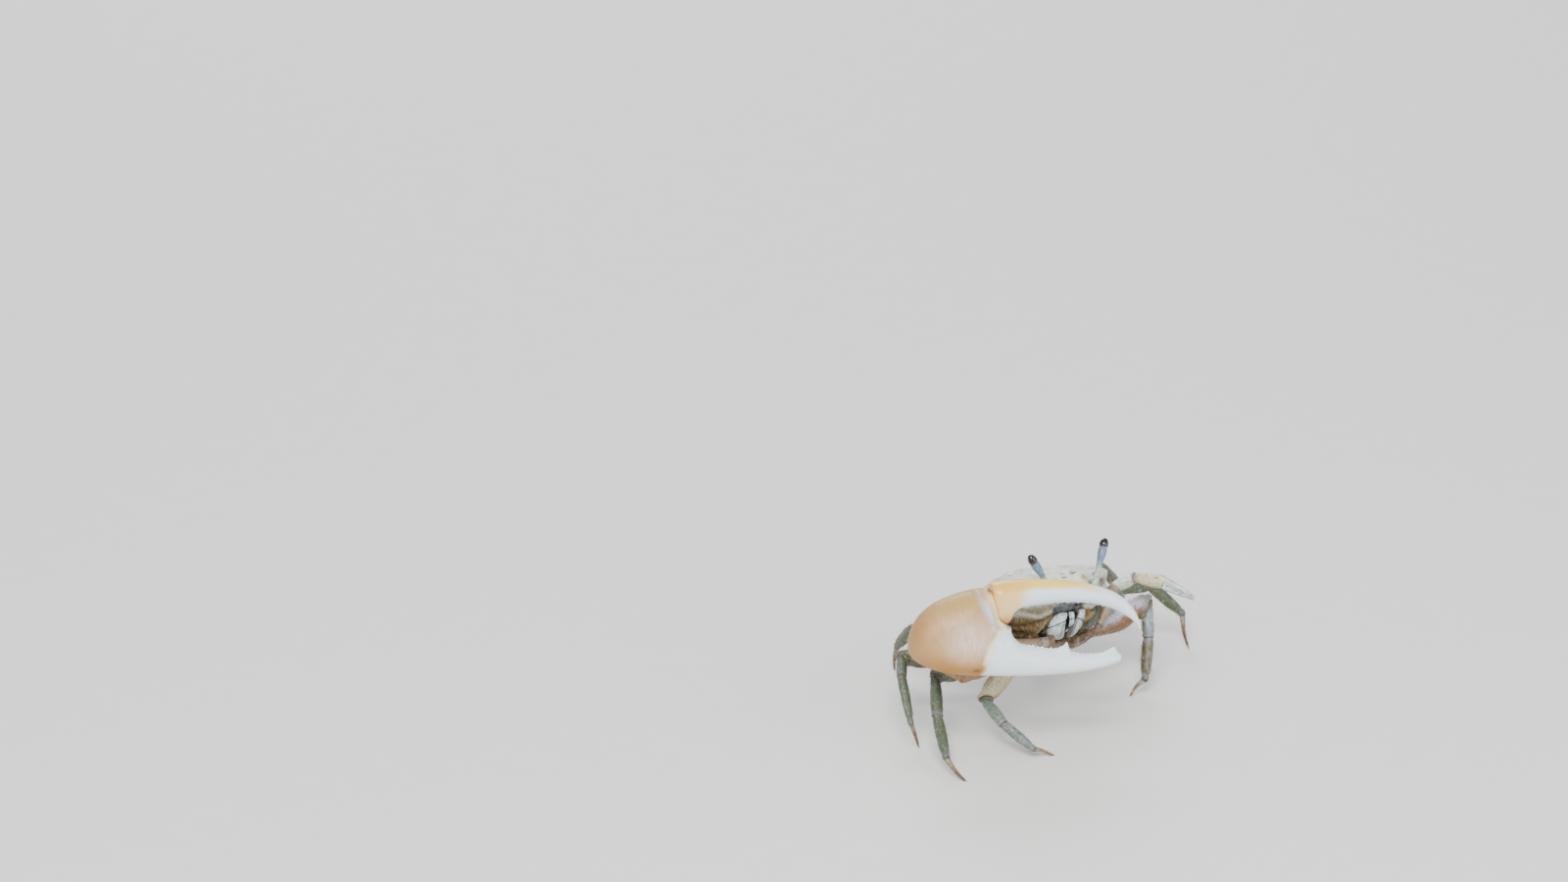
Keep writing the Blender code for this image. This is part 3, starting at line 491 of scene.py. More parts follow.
class Tree:
    """Short ways to add nodes to a node tree. A value that is a socket is linked."""

    def __init__(self, tree):
        self.tree = tree

    def fill(self, socket, value):
        """Links a socket to another one, or gives it a value."""
        if isinstance(value, bpy.types.NodeSocket):
            self.tree.links.new(value, socket)
        else:
            socket.default_value = value

    def node(self, kind, values=None, **settings):
        """A node with its settings and its input values."""
        made = self.tree.nodes.new("ShaderNode" + kind)
        for key, value in settings.items():
            setattr(made, key, value)
        for key, value in (values or {}).items():
            self.fill(made.inputs[key], value)
        return made

    def maths(self, operation, first, second=0.0):
        """The result of a Math node."""
        return self.node("Math", {0: first, 1: second}, operation=operation).outputs[0]

    def times(self, first, second):
        """The product of two values."""
        return self.maths("MULTIPLY", first, second)

    def vector(self, operation, first, second):
        """The result of a Vector Math node."""
        return self.node("VectorMath", {0: first, 1: second}, operation=operation).outputs[0]

    def parts(self, vector):
        """The three numbers of a vector."""
        return tuple(self.node("SeparateXYZ", {0: vector}).outputs)

    def blend(self, mask, first, second):
        """One colour, and a second one where the mask is high."""
        values = {0: mask, 6: colour_of(first), 7: colour_of(second)}
        return self.node("Mix", values, data_type="RGBA").outputs[2]

    def ranged(self, value, low, high, to_low=0.0, to_high=1.0):
        """A value spread smoothly from one range to another."""
        values = {"Value": value, "From Min": low, "From Max": high, "To Min": to_low, "To Max": to_high}
        return self.node("MapRange", values, interpolation_type="SMOOTHSTEP").outputs["Result"]

    def noise(self, place, scale, detail, roughness=0.5, distortion=0.0):
        """A Noise Texture node's outputs."""
        values = {"Vector": place, "Scale": scale, "Detail": detail, "Roughness": roughness}
        return self.node("TexNoise", {**values, "Distortion": distortion}).outputs

    def cells(self, place, scale, randomness):
        """A Voronoi Texture node's outputs."""
        values = {"Vector": place, "Scale": scale, "Randomness": randomness}
        return self.node("TexVoronoi", values, feature="F1").outputs


# Effects that several materials share

def effect(name, inputs, outputs):
    """A new node group. An input's value is its default, and None stands for a vector."""
    group = bpy.data.node_groups.new(name, "ShaderNodeTree")
    for label, value in inputs.items():
        kind = "NodeSocketVector" if value is None else "NodeSocketFloat"
        made = group.interface.new_socket(label, in_out="INPUT", socket_type=kind)
        if value is not None:
            made.default_value = value
    for label in outputs:
        group.interface.new_socket(label, in_out="OUTPUT", socket_type="NodeSocketFloat")
    given = group.nodes.new("NodeGroupInput").outputs
    result = group.nodes.new("NodeGroupOutput").inputs
    return Tree(group), given, result


def mottle_effect():
    """Soft irregular blotches, as a mask from 0 to 1."""
    inputs = {"Place": None, "Size": 1.0, "Softness": 0.1, "Share": 0.5}
    tree, given, result = effect("mottle", inputs, ("Mask",))
    scale = tree.maths("DIVIDE", 1.0, given["Size"])
    blots = tree.noise(given["Place"], scale, 3.0, 0.6, 0.6)["Fac"]
    low = tree.maths("SUBTRACT", given["Share"], given["Softness"])
    high = tree.maths("ADD", given["Share"], given["Softness"])
    tree.fill(result["Mask"], tree.ranged(blots, low, high))
    return tree.tree


def granule_effect():
    """Close-set grains, as on rough shell: their height, and a mask of the grooves between them."""
    tree, given, result = effect("granules", {"Place": None, "Size": 0.2}, ("Height", "Grooves"))
    cells = tree.cells(given["Place"], tree.maths("DIVIDE", 1.0, given["Size"]), 0.85)["Distance"]
    tree.fill(result["Height"], tree.ranged(cells, 0.65, 0.0))
    tree.fill(result["Grooves"], tree.ranged(cells, 0.38, 0.7))
    return tree.tree


def striae_effect():
    """Fine broken lines that run across the place's X, as a mask."""
    tree, given, result = effect("striae", {"Place": None, "Pitch": 0.4, "Length": 4.0}, ("Lines",))
    across = tree.maths("DIVIDE", 1.0, given["Pitch"])
    along = tree.maths("DIVIDE", across, given["Length"])
    x, y, z = tree.parts(given["Place"])
    values = {0: tree.times(x, across), 1: tree.times(y, along), 2: tree.times(z, along)}
    squeezed = tree.node("CombineXYZ", values).outputs[0]
    lines = tree.noise(squeezed, 1.0, 2.0, 0.55)["Fac"]
    tree.fill(result["Lines"], tree.ranged(lines, 0.42, 0.62))
    return tree.tree


def dash_effect():
    """Sparse short dark dashes and dots, as a mask."""
    tree, given, result = effect("dashes", {"Place": None, "Size": 0.8, "Share": 0.4}, ("Mask",))
    bent = tree.noise(given["Place"], 1.3, 2.0)["Color"]
    place = tree.vector("ADD", given["Place"], tree.vector("MULTIPLY", bent, (0.5, 0.5, 0.5)))
    stretched = tree.vector("MULTIPLY", place, (0.6, 1.5, 1.0))
    cells = tree.cells(stretched, tree.maths("DIVIDE", 1.0, given["Size"]), 1.0)
    lot = tree.parts(cells["Color"])[0]
    there = tree.ranged(lot, tree.maths("ADD", given["Share"], 0.06), given["Share"])
    tree.fill(result["Mask"], tree.times(there, tree.ranged(cells["Distance"], 0.42, 0.25)))
    return tree.tree


MOTTLE = mottle_effect()
GRANULES = granule_effect()
STRIAE = striae_effect()
DASHES = dash_effect()


# How far red, green and blue light spread below a surface, in metres.
GLOW_REACH = (0.0006, 0.0004, 0.0003)


class Paint(Tree):
    """A material under way, with its places, and the colour so far, which each layer covers in part."""

    def __init__(self, name, rough, coat=0.0, coat_rough=0.1, subsurface=0.0, own_places=True):
        self.look = bpy.data.materials.new(name)
        self.look.use_nodes = True
        super().__init__(self.look.node_tree)
        self.shader = self.tree.nodes["Principled BSDF"].inputs
        settings = {
            "Roughness": rough, "Coat Weight": coat, "Coat Roughness": coat_rough,
            "Subsurface Weight": subsurface, "Subsurface Radius": GLOW_REACH, "Subsurface Scale": 1.0,
        }
        for key, value in settings.items():
            self.shader[key].default_value = value
        self.place = self.kept("place", "Vector") if own_places else self.node("TexCoord").outputs["Object"]
        self.colour = None

    def kept(self, name, output="Fac"):
        """A value that the piece keeps for each point."""
        return self.node("Attribute", attribute_name=name).outputs[output]

    def group(self, effect_tree, **values):
        """A shared effect's outputs."""
        return self.node("Group", {"Place": self.place, **values}, node_tree=effect_tree).outputs

    def blots(self, size, softness, share=0.5):
        """The mask of the mottle effect."""
        return self.group(MOTTLE, Size=size, Softness=softness, Share=share)["Mask"]

    def flecks(self, size, share, **place):
        """The mask of the dash effect."""
        return self.group(DASHES, Size=size, Share=share, **place)["Mask"]

    def lines(self, pitch, length):
        """The mask of the striae effect."""
        return self.group(STRIAE, Pitch=pitch, Length=length)["Lines"]

    def grains(self, size):
        """The outputs of the granule effect."""
        return self.group(GRANULES, Size=size)

    def fine(self, size):
        """A fine irregular height, for the last bump of a surface."""
        return self.noise(self.place, 1.0 / size, 4.0, 0.65)["Fac"]

    def wandering(self, value, size, reach):
        """A value that wanders up and down a little from place to place."""
        return self.maths("ADD", value, self.times(self.maths("SUBTRACT", self.fine(size), 0.5), reach))

    def base(self, mask, first, second):
        """Starts the colour."""
        self.colour = self.blend(mask, first, second)

    def over(self, mask, colour, share=1.0):
        """Covers the colour so far where the mask is high, up to a share."""
        self.colour = self.blend(mask if share == 1.0 else self.times(mask, share), self.colour, colour)

    def finished(self, *heights, rough=None):
        """Joins colour, roughness and a chain of bumps, each a height and a distance in millimetres."""
        self.fill(self.shader["Base Color"], self.colour)
        if rough:
            self.fill(self.shader["Roughness"], rough)
        normal = None
        for height, distance in heights:
            values = {"Height": height, "Strength": 1.0, "Distance": distance * MM}
            if normal:
                values["Normal"] = normal
            normal = self.node("Bump", values).outputs["Normal"]
        if normal:
            self.fill(self.shader["Normal"], normal)
        return self.look


# The materials

def floor_material():
    """Pale paper with a faint unevenness."""
    paint = Paint("floor_paper", 0.85, own_places=False)
    pale = tuple(value * 1.04 for value in FLOOR_COLOUR)
    paint.base(paint.noise(paint.place, 220.0, 3.0)["Fac"], (*FLOOR_COLOUR, 1.0), (*pale, 1.0))
    return paint.finished()


def shell_material():
    """Pale cream with dark flecks above, blue-grey between the orbits, olive brown and granular below."""
    paint = Paint("carapace_shell", 0.36, coat=0.25, coat_rough=0.22)
    x, y, z = paint.parts(paint.place)
    paint.base(paint.blots(2.6, 0.16), (238, 240, 222), (224, 232, 222))
    beside = paint.ranged(paint.maths("ABSOLUTE", x), 6.0, 9.0, 0.15, 0.7)
    behind = paint.maths("MAXIMUM", paint.ranged(y, -3.5, 3.0, 0.15, 0.85), beside)
    paint.over(paint.times(paint.blots(0.9, 0.05, 0.60), behind), (146, 132, 98))
    paint.over(paint.times(paint.blots(3.4, 0.12, 0.52), behind), (176, 172, 142), 0.6)
    # The flecks lie across the back, and they are fainter behind.
    flecks = paint.flecks(0.72, 0.40, Place=paint.vector("MULTIPLY", paint.place, (0.62, 1.0, 1.0)))
    paint.over(paint.times(flecks, paint.ranged(y, -3.0, 3.0, 0.92, 0.5)), (66, 62, 66))
    paint.over(paint.kept("knob"), (158, 132, 84))
    # Below the edge the shell turns to olive brown, and it is darkest low down, where the dark brown is a
    # painted shade.
    above = paint.colour
    below = paint.times(paint.ranged(z, -1.5, -2.9), paint.ranged(y, 4.0, 1.0, 0.35, 1.0))
    paint.base(paint.blots(0.8, 0.14), (160, 148, 114), (128, 112, 74))
    paint.over(paint.ranged(z, -3.6, -4.8), (134, 106, 62))
    paint.over(paint.ranged(z, -5.2, -6.4), (70, 52, 33))
    grain = paint.grains(0.20)
    # The grooves between the grains are darkened, a painted shade.
    paint.over(grain["Grooves"], (60, 48, 30), 0.55)
    paint.over(paint.ranged(grain["Height"], 0.55, 0.95), (206, 196, 160), 0.35)
    paint.base(below, above, paint.colour)
    # The orbit's floor is painted dark as painted shade, the brow between the orbits is blue-grey, and
    # ridges are pale.
    paint.over(paint.kept("orbit"), (92, 70, 52))
    paint.over(paint.kept("brow"), paint.blend(paint.blots(0.55, 0.10), (92, 100, 112), (132, 132, 120)))
    paint.over(paint.kept("ridge"), (214, 214, 192))
    # The mouth's cavity, the groove beside it and a small dent near it are painted near black, a painted
    # shade in these recesses.
    paint.over(paint.kept("dark"), (22, 19, 18))
    grainy = paint.times(grain["Height"], paint.maths("ADD", below, 0.04))
    rough = paint.blend(below, grey(0.34), grey(0.55))
    return paint.finished((grainy, 0.07), (paint.fine(0.12), 0.018), rough=rough)


def bristle_material(name, root, tip):
    """Stiff bristles, darker at the root and pale at the tip."""
    paint = Paint(name, 0.38, coat=0.15, coat_rough=0.2, own_places=False)
    paint.base(paint.ranged(paint.wandering(paint.kept("along"), 0.0006, 0.5), 0.05, 0.75), root, tip)
    return paint.finished()


def palm_material():
    """Tan orange with fine upright lines, a pale middle that is a painted highlight, and a white fixed
    finger.
    """
    paint = Paint("large_claw_shell", 0.40, coat=0.16, coat_rough=0.22, subsurface=0.12)
    x, _, z = paint.parts(paint.place)
    paint.base(paint.blots(3.0, 0.2), (194, 156, 100), (186, 144, 92))
    # It is golden low down, brown at the heel and yellowish on top.
    paint.over(paint.ranged(z, -1.4, -4.3), (178, 122, 30), 0.95)
    paint.over(paint.ranged(x, -4.2, -7.4), (172, 128, 74), 0.7)
    paint.over(paint.ranged(z, 2.2, 4.6), (188, 158, 80), 0.7)
    # A broad pale patch in the palm's middle is a painted highlight.
    from_highlight_middle = paint.vector("SUBTRACT", paint.place, (-0.4, -3.0, -0.6))
    squashed = paint.vector("MULTIPLY", from_highlight_middle, (0.25, 0.2, 0.28))
    far = paint.node("VectorMath", {0: squashed}, operation="LENGTH").outputs["Value"]
    paint.over(paint.ranged(far, 1.15, 0.1), (228, 206, 192), 0.85)
    on_palm = paint.ranged(x, 3.2, 0.4)
    paint.over(paint.times(paint.lines(0.30, 5.0), on_palm), (176, 130, 88), 0.28)
    # The palm passes through cream to the white of the fixed finger.
    finger = paint.kept("white")
    paint.over(paint.ranged(finger, 0.0, 0.45), (240, 226, 190))
    paint.over(paint.ranged(finger, 0.35, 0.95), (234, 245, 252))
    paint.over(paint.times(paint.ranged(x, 6.5, 14.5), paint.ranged(z, -3.9, -5.0)), (244, 226, 190), 0.5)
    # The trough behind the hinge ridge takes a painted bluish highlight.
    paint.over(paint.kept("hinge_tint"), (222, 222, 246), 0.8)
    crest = paint.blend(paint.ranged(z, 0.6, 2.4), (246, 240, 226), (246, 224, 174))
    paint.over(paint.kept("hinge_ridge"), crest, 0.9)
    paint.over(paint.kept("corner"), (128, 76, 24))
    grainy = paint.times(paint.grains(0.26)["Height"], on_palm)
    rough = paint.blend(finger, grey(0.46), grey(0.30))
    return paint.finished((grainy, 0.030), (paint.fine(0.10), 0.008), rough=rough)


def finger_material():
    """White with a yellow upper edge that fades towards the tip, and a tan base."""
    paint = Paint("large_claw_finger_shell", 0.30, coat=0.28, coat_rough=0.18, subsurface=0.15)
    x, _, z = paint.parts(paint.place)
    paint.base(paint.blots(2.2, 0.25), (234, 245, 252), (228, 239, 250))
    upper = paint.ranged(paint.wandering(paint.kept("edge"), 1.1, 0.25), 0.22, 0.62)
    paint.over(paint.times(upper, paint.ranged(x, 18.0, 12.5)), (254, 218, 104))
    # The base is tan, and the tan ends on a line that slants down towards the gape.
    slant = paint.maths("SUBTRACT", x, paint.times(z, 0.25))
    paint.over(paint.ranged(slant, 6.6, 4.2), (238, 198, 120), 0.92)
    paint.over(paint.times(upper, paint.ranged(x, 9.0, 3.0)), (244, 186, 74), 0.7)
    paint.over(paint.kept("corner"), (196, 140, 80))
    paint.over(paint.ranged(x, 18.5, 21.0, 0.0, 0.5), (244, 238, 214))
    return paint.finished((paint.fine(0.14), 0.010))


def limb_material(
    name, upper, lower, mark, end, seed, marks, rough=0.42, tone=(-0.55, 0.25), patch=None, depth=0.03,
):
    """Mottled limb shell: one colour above, one below, marks between, and another tint at each joint."""
    paint = Paint(name, rough, coat=0.25, coat_rough=0.24)
    paint.place = paint.vector("ADD", paint.place, (seed * 3.1, seed, -seed))
    share = paint.kept("along")
    dark = linear(*lower, dim=0.40)
    paint.base(paint.ranged(paint.wandering(paint.kept("rise"), 1.3, 1.2), *tone), lower, upper)
    paint.over(paint.blots(0.85, 0.06, 1.0 - marks), mark, 0.75)
    specks = paint.blots(0.26, 0.04, 0.64)
    paint.over(specks, mark, 0.55)
    paint.over(paint.flecks(0.42, 0.34), dark, 0.65)
    lines = paint.lines(0.16, 3.0)
    paint.over(lines, dark, 0.25)
    ends = paint.maths("MAXIMUM", paint.ranged(share, 0.86, 0.99), paint.ranged(share, 0.09, 0.01))
    paint.over(ends, end, 0.32)
    if patch:
        tint = paint.blend(specks, linear(*patch, dim=0.55), patch)
        paint.over(paint.kept("patch"), paint.blend(0.7, tint, patch))
    grain = paint.grains(0.15)
    # The grooves between the grains are darkened, a painted shade.
    paint.over(grain["Grooves"], dark, 0.30)
    return paint.finished((grain["Height"], depth), (lines, 0.4 * depth))


def toe_material(name, base, tip, seed):
    """A dactyl: the leg's colour at its root, and horn brown towards the tip."""
    paint = Paint(name, 0.38, coat=0.2, coat_rough=0.2)
    share = paint.kept("along")
    paint.base(paint.ranged(paint.wandering(share, 0.6, 0.35), 0.05, 0.55), base, tip)
    paint.over(paint.ranged(share, 0.72, 0.98), (58, 36, 22))
    paint.place = paint.vector("ADD", paint.place, (seed, 0.0, 0.0))
    paint.over(paint.blots(0.6, 0.08, 0.56), (196, 180, 150), 0.4)
    return paint.finished((paint.fine(0.08), 0.02))


def stalk_material():
    """Whitish green at the base of the stalk and blue-grey above, with small dark dots."""
    paint = Paint("eyestalk_skin", 0.34, coat=0.35, coat_rough=0.2, subsurface=0.05)
    paint.base(paint.ranged(paint.kept("along"), 0.35, 0.68), (184, 198, 178), (104, 128, 148))
    paint.over(paint.blots(0.45, 0.10, 0.56), (78, 96, 112), 0.55)
    paint.over(paint.blots(0.3, 0.06, 0.66), (190, 206, 216), 0.6)
    paint.over(paint.flecks(0.30, 0.35), (58, 52, 58), 0.5)
    return paint.finished((paint.fine(0.12), 0.015))


def cornea_material():
    """A near-black eye with a wet gloss and very fine facets, on a plum band over the stalk's blue-grey."""
    paint = Paint("cornea", 0.14, coat=0.8, coat_rough=0.04)
    level = paint.wandering(paint.kept("along"), 0.4, 0.10)
    paint.base(paint.ranged(level, 0.06, 0.12), (112, 128, 144), (86, 56, 68))
    paint.over(paint.ranged(level, 0.18, 0.24), (14, 13, 17))
    paint.over(paint.times(paint.blots(0.5, 0.2), paint.ranged(level, 0.22, 0.32)), (34, 36, 46), 0.35)
    return paint.finished((paint.grains(0.045)["Height"], 0.002))


def mouth_material():
    """The mouth's outer plates: bluish white with yellowish clouds, grey low down, dark at the joint, and
    darker in the grooves and at the rim as painted shade.
    """
    paint = Paint("mouth_plate_shell", 0.34, coat=0.35, coat_rough=0.2)
    paint.base(paint.ranged(paint.kept("along"), 0.45, 0.95), (216, 234, 246), (128, 144, 152))
    paint.over(paint.blots(0.8, 0.08, 0.54), (158, 152, 108), 0.85)
    paint.over(paint.blots(0.35, 0.05, 0.58), (104, 100, 84), 0.6)
    # The joint is dark, and the grooves and the left plate's inner strip are a painted shade.
    paint.over(paint.kept("groove"), (60, 54, 46))
    # The plates' edges are darkened, a painted shade where they meet the parts beside them.
    paint.over(paint.ranged(paint.kept("rise"), 0.80, 1.0), (66, 60, 50), 0.7)
    return paint.finished((paint.grains(0.20)["Height"], 0.02), (paint.fine(0.1), 0.01))


def underside_material():
    """Olive brown and granular, with pale clouds, and darker towards the front."""
    paint = Paint("underside_shell", 0.48, coat=0.18, coat_rough=0.3)
    y = paint.parts(paint.place)[1]
    mask = paint.blots(1.4, 0.12)
    paint.base(mask, (146, 128, 92), (112, 92, 60))
    front = paint.ranged(y, -1.5, -4.5)
    paint.over(front, paint.blend(mask, (108, 80, 50), (74, 54, 36)), 0.85)
    paint.over(paint.blots(0.6, 0.05, 0.62), paint.blend(front, (170, 160, 132), (168, 154, 172)), 0.6)
    grain = paint.grains(0.22)
    # The grooves between the grains are darkened, a painted shade.
    paint.over(grain["Grooves"], (56, 42, 28), 0.4)
    return paint.finished((grain["Height"], 0.04), (paint.fine(0.12), 0.015))


def simple_material(name, first, second, size, rough):
    """Two mottled tones with a fine grain, for small parts. Sizes are millimetres."""
    paint = Paint(name, rough, coat=0.2, coat_rough=0.22, own_places=False)
    paint.place = paint.vector("MULTIPLY", paint.place, (1.0 / MM, 1.0 / MM, 1.0 / MM))
    paint.base(paint.blots(size, 0.15), first, second)
    return paint.finished((paint.fine(0.12), 0.02))


# The limbs

# The share of a segment's length that counts as its end.
END_SHARE = 0.08


class Run:
    """Where a limb's segment lies: its start, its length, and its own frame with X along it and Z up it."""

    def __init__(self, points, before, after):
        centre = points.mean(axis=0)
        spread = points - centre
        axes = np.linalg.eigh(spread.T @ spread)[1]
        axis = axes[:, 2]
        towards = (centre if after is None else after) - (centre if before is None else before)
        if axis @ towards < 0.0:
            axis = -axis
        along = spread @ axis
        reach = (along.max() - along.min()) * END_SHARE
        end = points[along > along.max() - reach].mean(axis=0)
        self.start = points[along < along.min() + reach].mean(axis=0)
        self.length = np.linalg.norm(end - self.start)
        self.axis = (end - self.start) / self.length
        deep = axes[:, 1] - self.axis * (axes[:, 1] @ self.axis)
        deep /= np.linalg.norm(deep)
        self.deep = -deep if deep[2] < 0.0 else deep
        self.turn = np.stack([self.axis, np.cross(self.deep, self.axis), self.deep])
        self.half_depth = np.abs(spread @ self.deep).max() / MM

    def places(self, points):
        """Points as millimetres along, across and up the segment."""
        return (points - self.start) / MM @ self.turn.T

    def share(self, points):
        """How far along the segment each point is, from 0 to 1."""
        return np.clip((points - self.start) @ self.axis / self.length, 0.0, 1.0)

    def rise(self, points):
        """How far up the segment each point is, from -1 to 1."""
        return np.clip(self.places(points)[:, 2] / self.half_depth, -1.0, 1.0)


def raw_points(name):
    """A node's points, in metres."""
    return points_of(frame["nodes"][name])


def run_of(name, *others):
    """The run of a node that lies between two others, either of which may be None."""
    return Run(raw_points(name), *(raw_points(other).mean(axis=0) if other else None for other in others))


def mark_limb(piece, run):
    """Keeps the limb's own places, share along and rise for its material."""
    points = points_of(piece)
    keep_values(piece, place=run.places(points), along=run.share(points), rise=run.rise(points))


def shape_segment(piece, run, kind):
    """Gives a segment its keel, its collar at the far end, its neck at the near end and its fine folds."""
    points = points_of(piece)
    places = run.places(points)
    share = run.share(points)
    along, across, up = places.T
    top = np.clip(up / np.maximum(np.hypot(across, up), 0.01), -1.0, 1.0)
    if kind == "merus":
        keels = 1.1 * np.clip(top - 0.90, 0.0, 1.0) + 0.875 * np.clip(-top - 0.92, 0.0, 1.0)
        folds = np.sin(along / 0.34 * math.tau + noise_at(places, 0.9) * 2.5) * step_at(up, 0.1, 0.9)
        height = (keels + 0.022 * folds) * bump_at(share, 0.55, 0.42)
        height += 0.05 * noise_at(places, 0.8, 4.0)
        height += 0.05 * step_at(share, 0.93, 0.98) - 0.10 * bump_at(share, 0.90, 0.035)
    elif kind == "dactyl":
        height = 0.030 * np.cos(np.arctan2(up, across) * 6.0) * bump_at(share, 0.45, 0.42)
        height += 0.05 * bump_at(share, 0.04, 0.05) - 0.07 * step_at(share, 0.80, 1.0)
    else:
        keels = 0.06 * bump_at(top, 0.80, 0.09) - 0.05 * bump_at(top, 1.0, 0.07)
        keels += 0.4 * np.clip(-top - 0.9, 0.0, 1.0)
        folds = np.sin(along / 0.28 * math.tau + noise_at(places, 0.7) * 3.0) * step_at(up, 0.0, 0.6)
        height = keels * bump_at(share, 0.5, 0.45) + 0.014 * folds
        height += 0.04 * noise_at(places, 0.7, 9.0)
        height += 0.02 * step_at(share, 0.94, 0.985) - 0.07 * bump_at(share, 0.91, 0.03)
        height -= 0.08 * step_at(share, 0.10, 0.0)
    raised(piece, height)
    # Each end reaches towards its neighbour, so that the joint closes to a fine line.
    far = 0.0 if kind == "dactyl" else 0.13
    shifted(piece, run.axis, far * step_at(share, 0.90, 0.98) - 0.12 * step_at(-share, -0.10, -0.02))
    inside_cad(piece)


# Where a piece's middle line is measured along its run, and how far round each of these shares.
MIDDLE_STEPS = np.linspace(0.0, 1.0, 25)
MIDDLE_REACH = 0.05


def reprofiled(piece, run, shares, widths):
    """Gives a piece the half widths wanted at shares along its run, and keeps its middle line."""
    points = points_of(piece)
    share = run.share(points)
    middles, now = [], []
    for step in MIDDLE_STEPS:
        near = points[np.abs(share - step) < MIDDLE_REACH]
        middle = near.mean(axis=0)
        middle += run.axis * ((run.start - middle) @ run.axis + step * run.length)
        off = near - middle
        off -= (off @ run.axis)[:, None] * run.axis
        middles.append(middle)
        now.append(np.linalg.norm(off, axis=1).max() / MM)
    centre = np.stack([np.interp(share, MIDDLE_STEPS, column) for column in zip(*middles)], axis=1)
    factor = np.interp(share, shares, widths) / np.interp(share, MIDDLE_STEPS, now)
    off = points - centre
    along = (off @ run.axis)[:, None] * run.axis
    set_points(piece, centre + along + (off - along) * factor[:, None])


# How close two nodes' points lie where a joint's skin bridges them, in metres. Then, in millimetres, how
# much longer than the gap the skin is, and the pitch and depth of its folds, and its share of their width.
JOINT_REACH = 0.75 * MM
SKIN_LAP = 0.30
FOLD_PITCH = 0.22
FOLD_DEPTH = 0.03
SKIN_SHARE = 0.86


def joint_skin(first, second):
    """A soft swollen ring of skin that fills the gap between two nodes where they face each other."""
    others = raw_points(second)
    tree = tree_of(others)
    facing = []
    for point in raw_points(first):
        _, number, gap = tree.find(point)
        if gap < JOINT_REACH:
            facing += [point, others[number]]
    ring = np.unique(np.round(np.array(facing), 7), axis=0)
    centre = ring.mean(axis=0)
    spread = ring - centre
    axes = np.linalg.eigh(spread.T @ spread)[1]
    size = np.abs(spread @ axes).max(axis=0)
    turn = Matrix(axes.tolist())
    if turn.determinant() < 0.0:
        turn.col[0] = -turn.col[0]
    skin = ball(24, 14)
    scale = Matrix.Diagonal((size[0] + SKIN_LAP * MM, size[1] * SKIN_SHARE, size[2] * SKIN_SHARE, 1.0))
    skin.data.transform(Matrix.Translation(centre) @ turn.to_4x4() @ scale)
    folds = (points_of(skin) - centre) @ axes[:, 0] / (FOLD_PITCH * MM)
    raised(skin, FOLD_DEPTH * np.cos(folds * math.tau))
    smooth_shaded(skin)
    return skin


LEG_NAMES = ("first", "second", "third", "fourth")
# The fineness of each segment's mesh, and the number and length of the bristles on it, in millimetres.
SEGMENT_VOXEL = {"merus": 0.095, "carpus": 0.08, "propodus": 0.08, "dactyl": 0.055}
LEG_BRISTLES = {"merus": (60, 0.9), "carpus": (26, 0.6), "propodus": (44, 0.9)}
# The half widths in millimetres at shares along each leg's last segment.
TOE_PROFILE = ((0.0, 0.10, 0.45, 0.80, 1.0), (0.33, 0.35, 0.25, 0.17, 0.15))
# Two tones that several legs share.
PALE = (146, 166, 154)
LILAC = (140, 132, 146)
# The looks of the limbs: the tones above, below, of the marks and at the joints, a shift of the pattern,
# and how much the marks cover.
LIMB_LOOKS = {
    "leg_shell_green": ((84, 100, 76), (72, 78, 46), PALE, LILAC, 1.0, 0.36),
    "leg_shell_olive": ((96, 98, 66), (78, 70, 42), PALE, (150, 132, 104), 2.0, 0.34),
    "leg_shell_cream": ((214, 202, 166), (190, 166, 118), (126, 112, 78), (190, 170, 130), 3.0, 0.34),
    "leg_shell_blue": ((128, 148, 134), (98, 110, 84), (164, 180, 168), LILAC, 4.0, 0.42),
    "leg_shell_grey_blue": ((118, 134, 128), (96, 100, 84), (160, 160, 166), (138, 124, 128), 4.5, 0.46),
    "leg_shell_lilac": ((188, 186, 198), (124, 84, 40), (176, 168, 172), (150, 142, 132), 5.0, 0.30),
    "leg_shell_grey": ((134, 146, 156), (96, 94, 76), (176, 184, 190), (150, 150, 150), 6.0, 0.44),
    "leg_shell_moss": ((108, 102, 72), (84, 76, 44), (150, 148, 160), LILAC, 7.0, 0.42),
    "large_arm_shell": ((156, 128, 104), (168, 118, 62), (190, 158, 116), (160, 128, 92), 7.0, 0.36),
    "small_arm_shell": ((146, 130, 96), (96, 74, 42), (172, 166, 142), (140, 122, 106), 8.0, 0.38),
    "small_wrist_shell": ((224, 234, 226), (190, 196, 170), (206, 196, 150), (196, 176, 120), 8.5, 0.30),
    "small_claw_shell": ((228, 224, 196), (180, 146, 82), (208, 158, 60), (206, 164, 84), 9.0, 0.38),
    "small_claw_finger_shell": (
        (206, 220, 220), (172, 184, 178), (232, 236, 230), (206, 120, 44), 9.5, 0.40,
    ),
}


def limb_look(name, **more):
    """One of the limbs' materials."""
    return limb_material(name, *LIMB_LOOKS[name], **more)


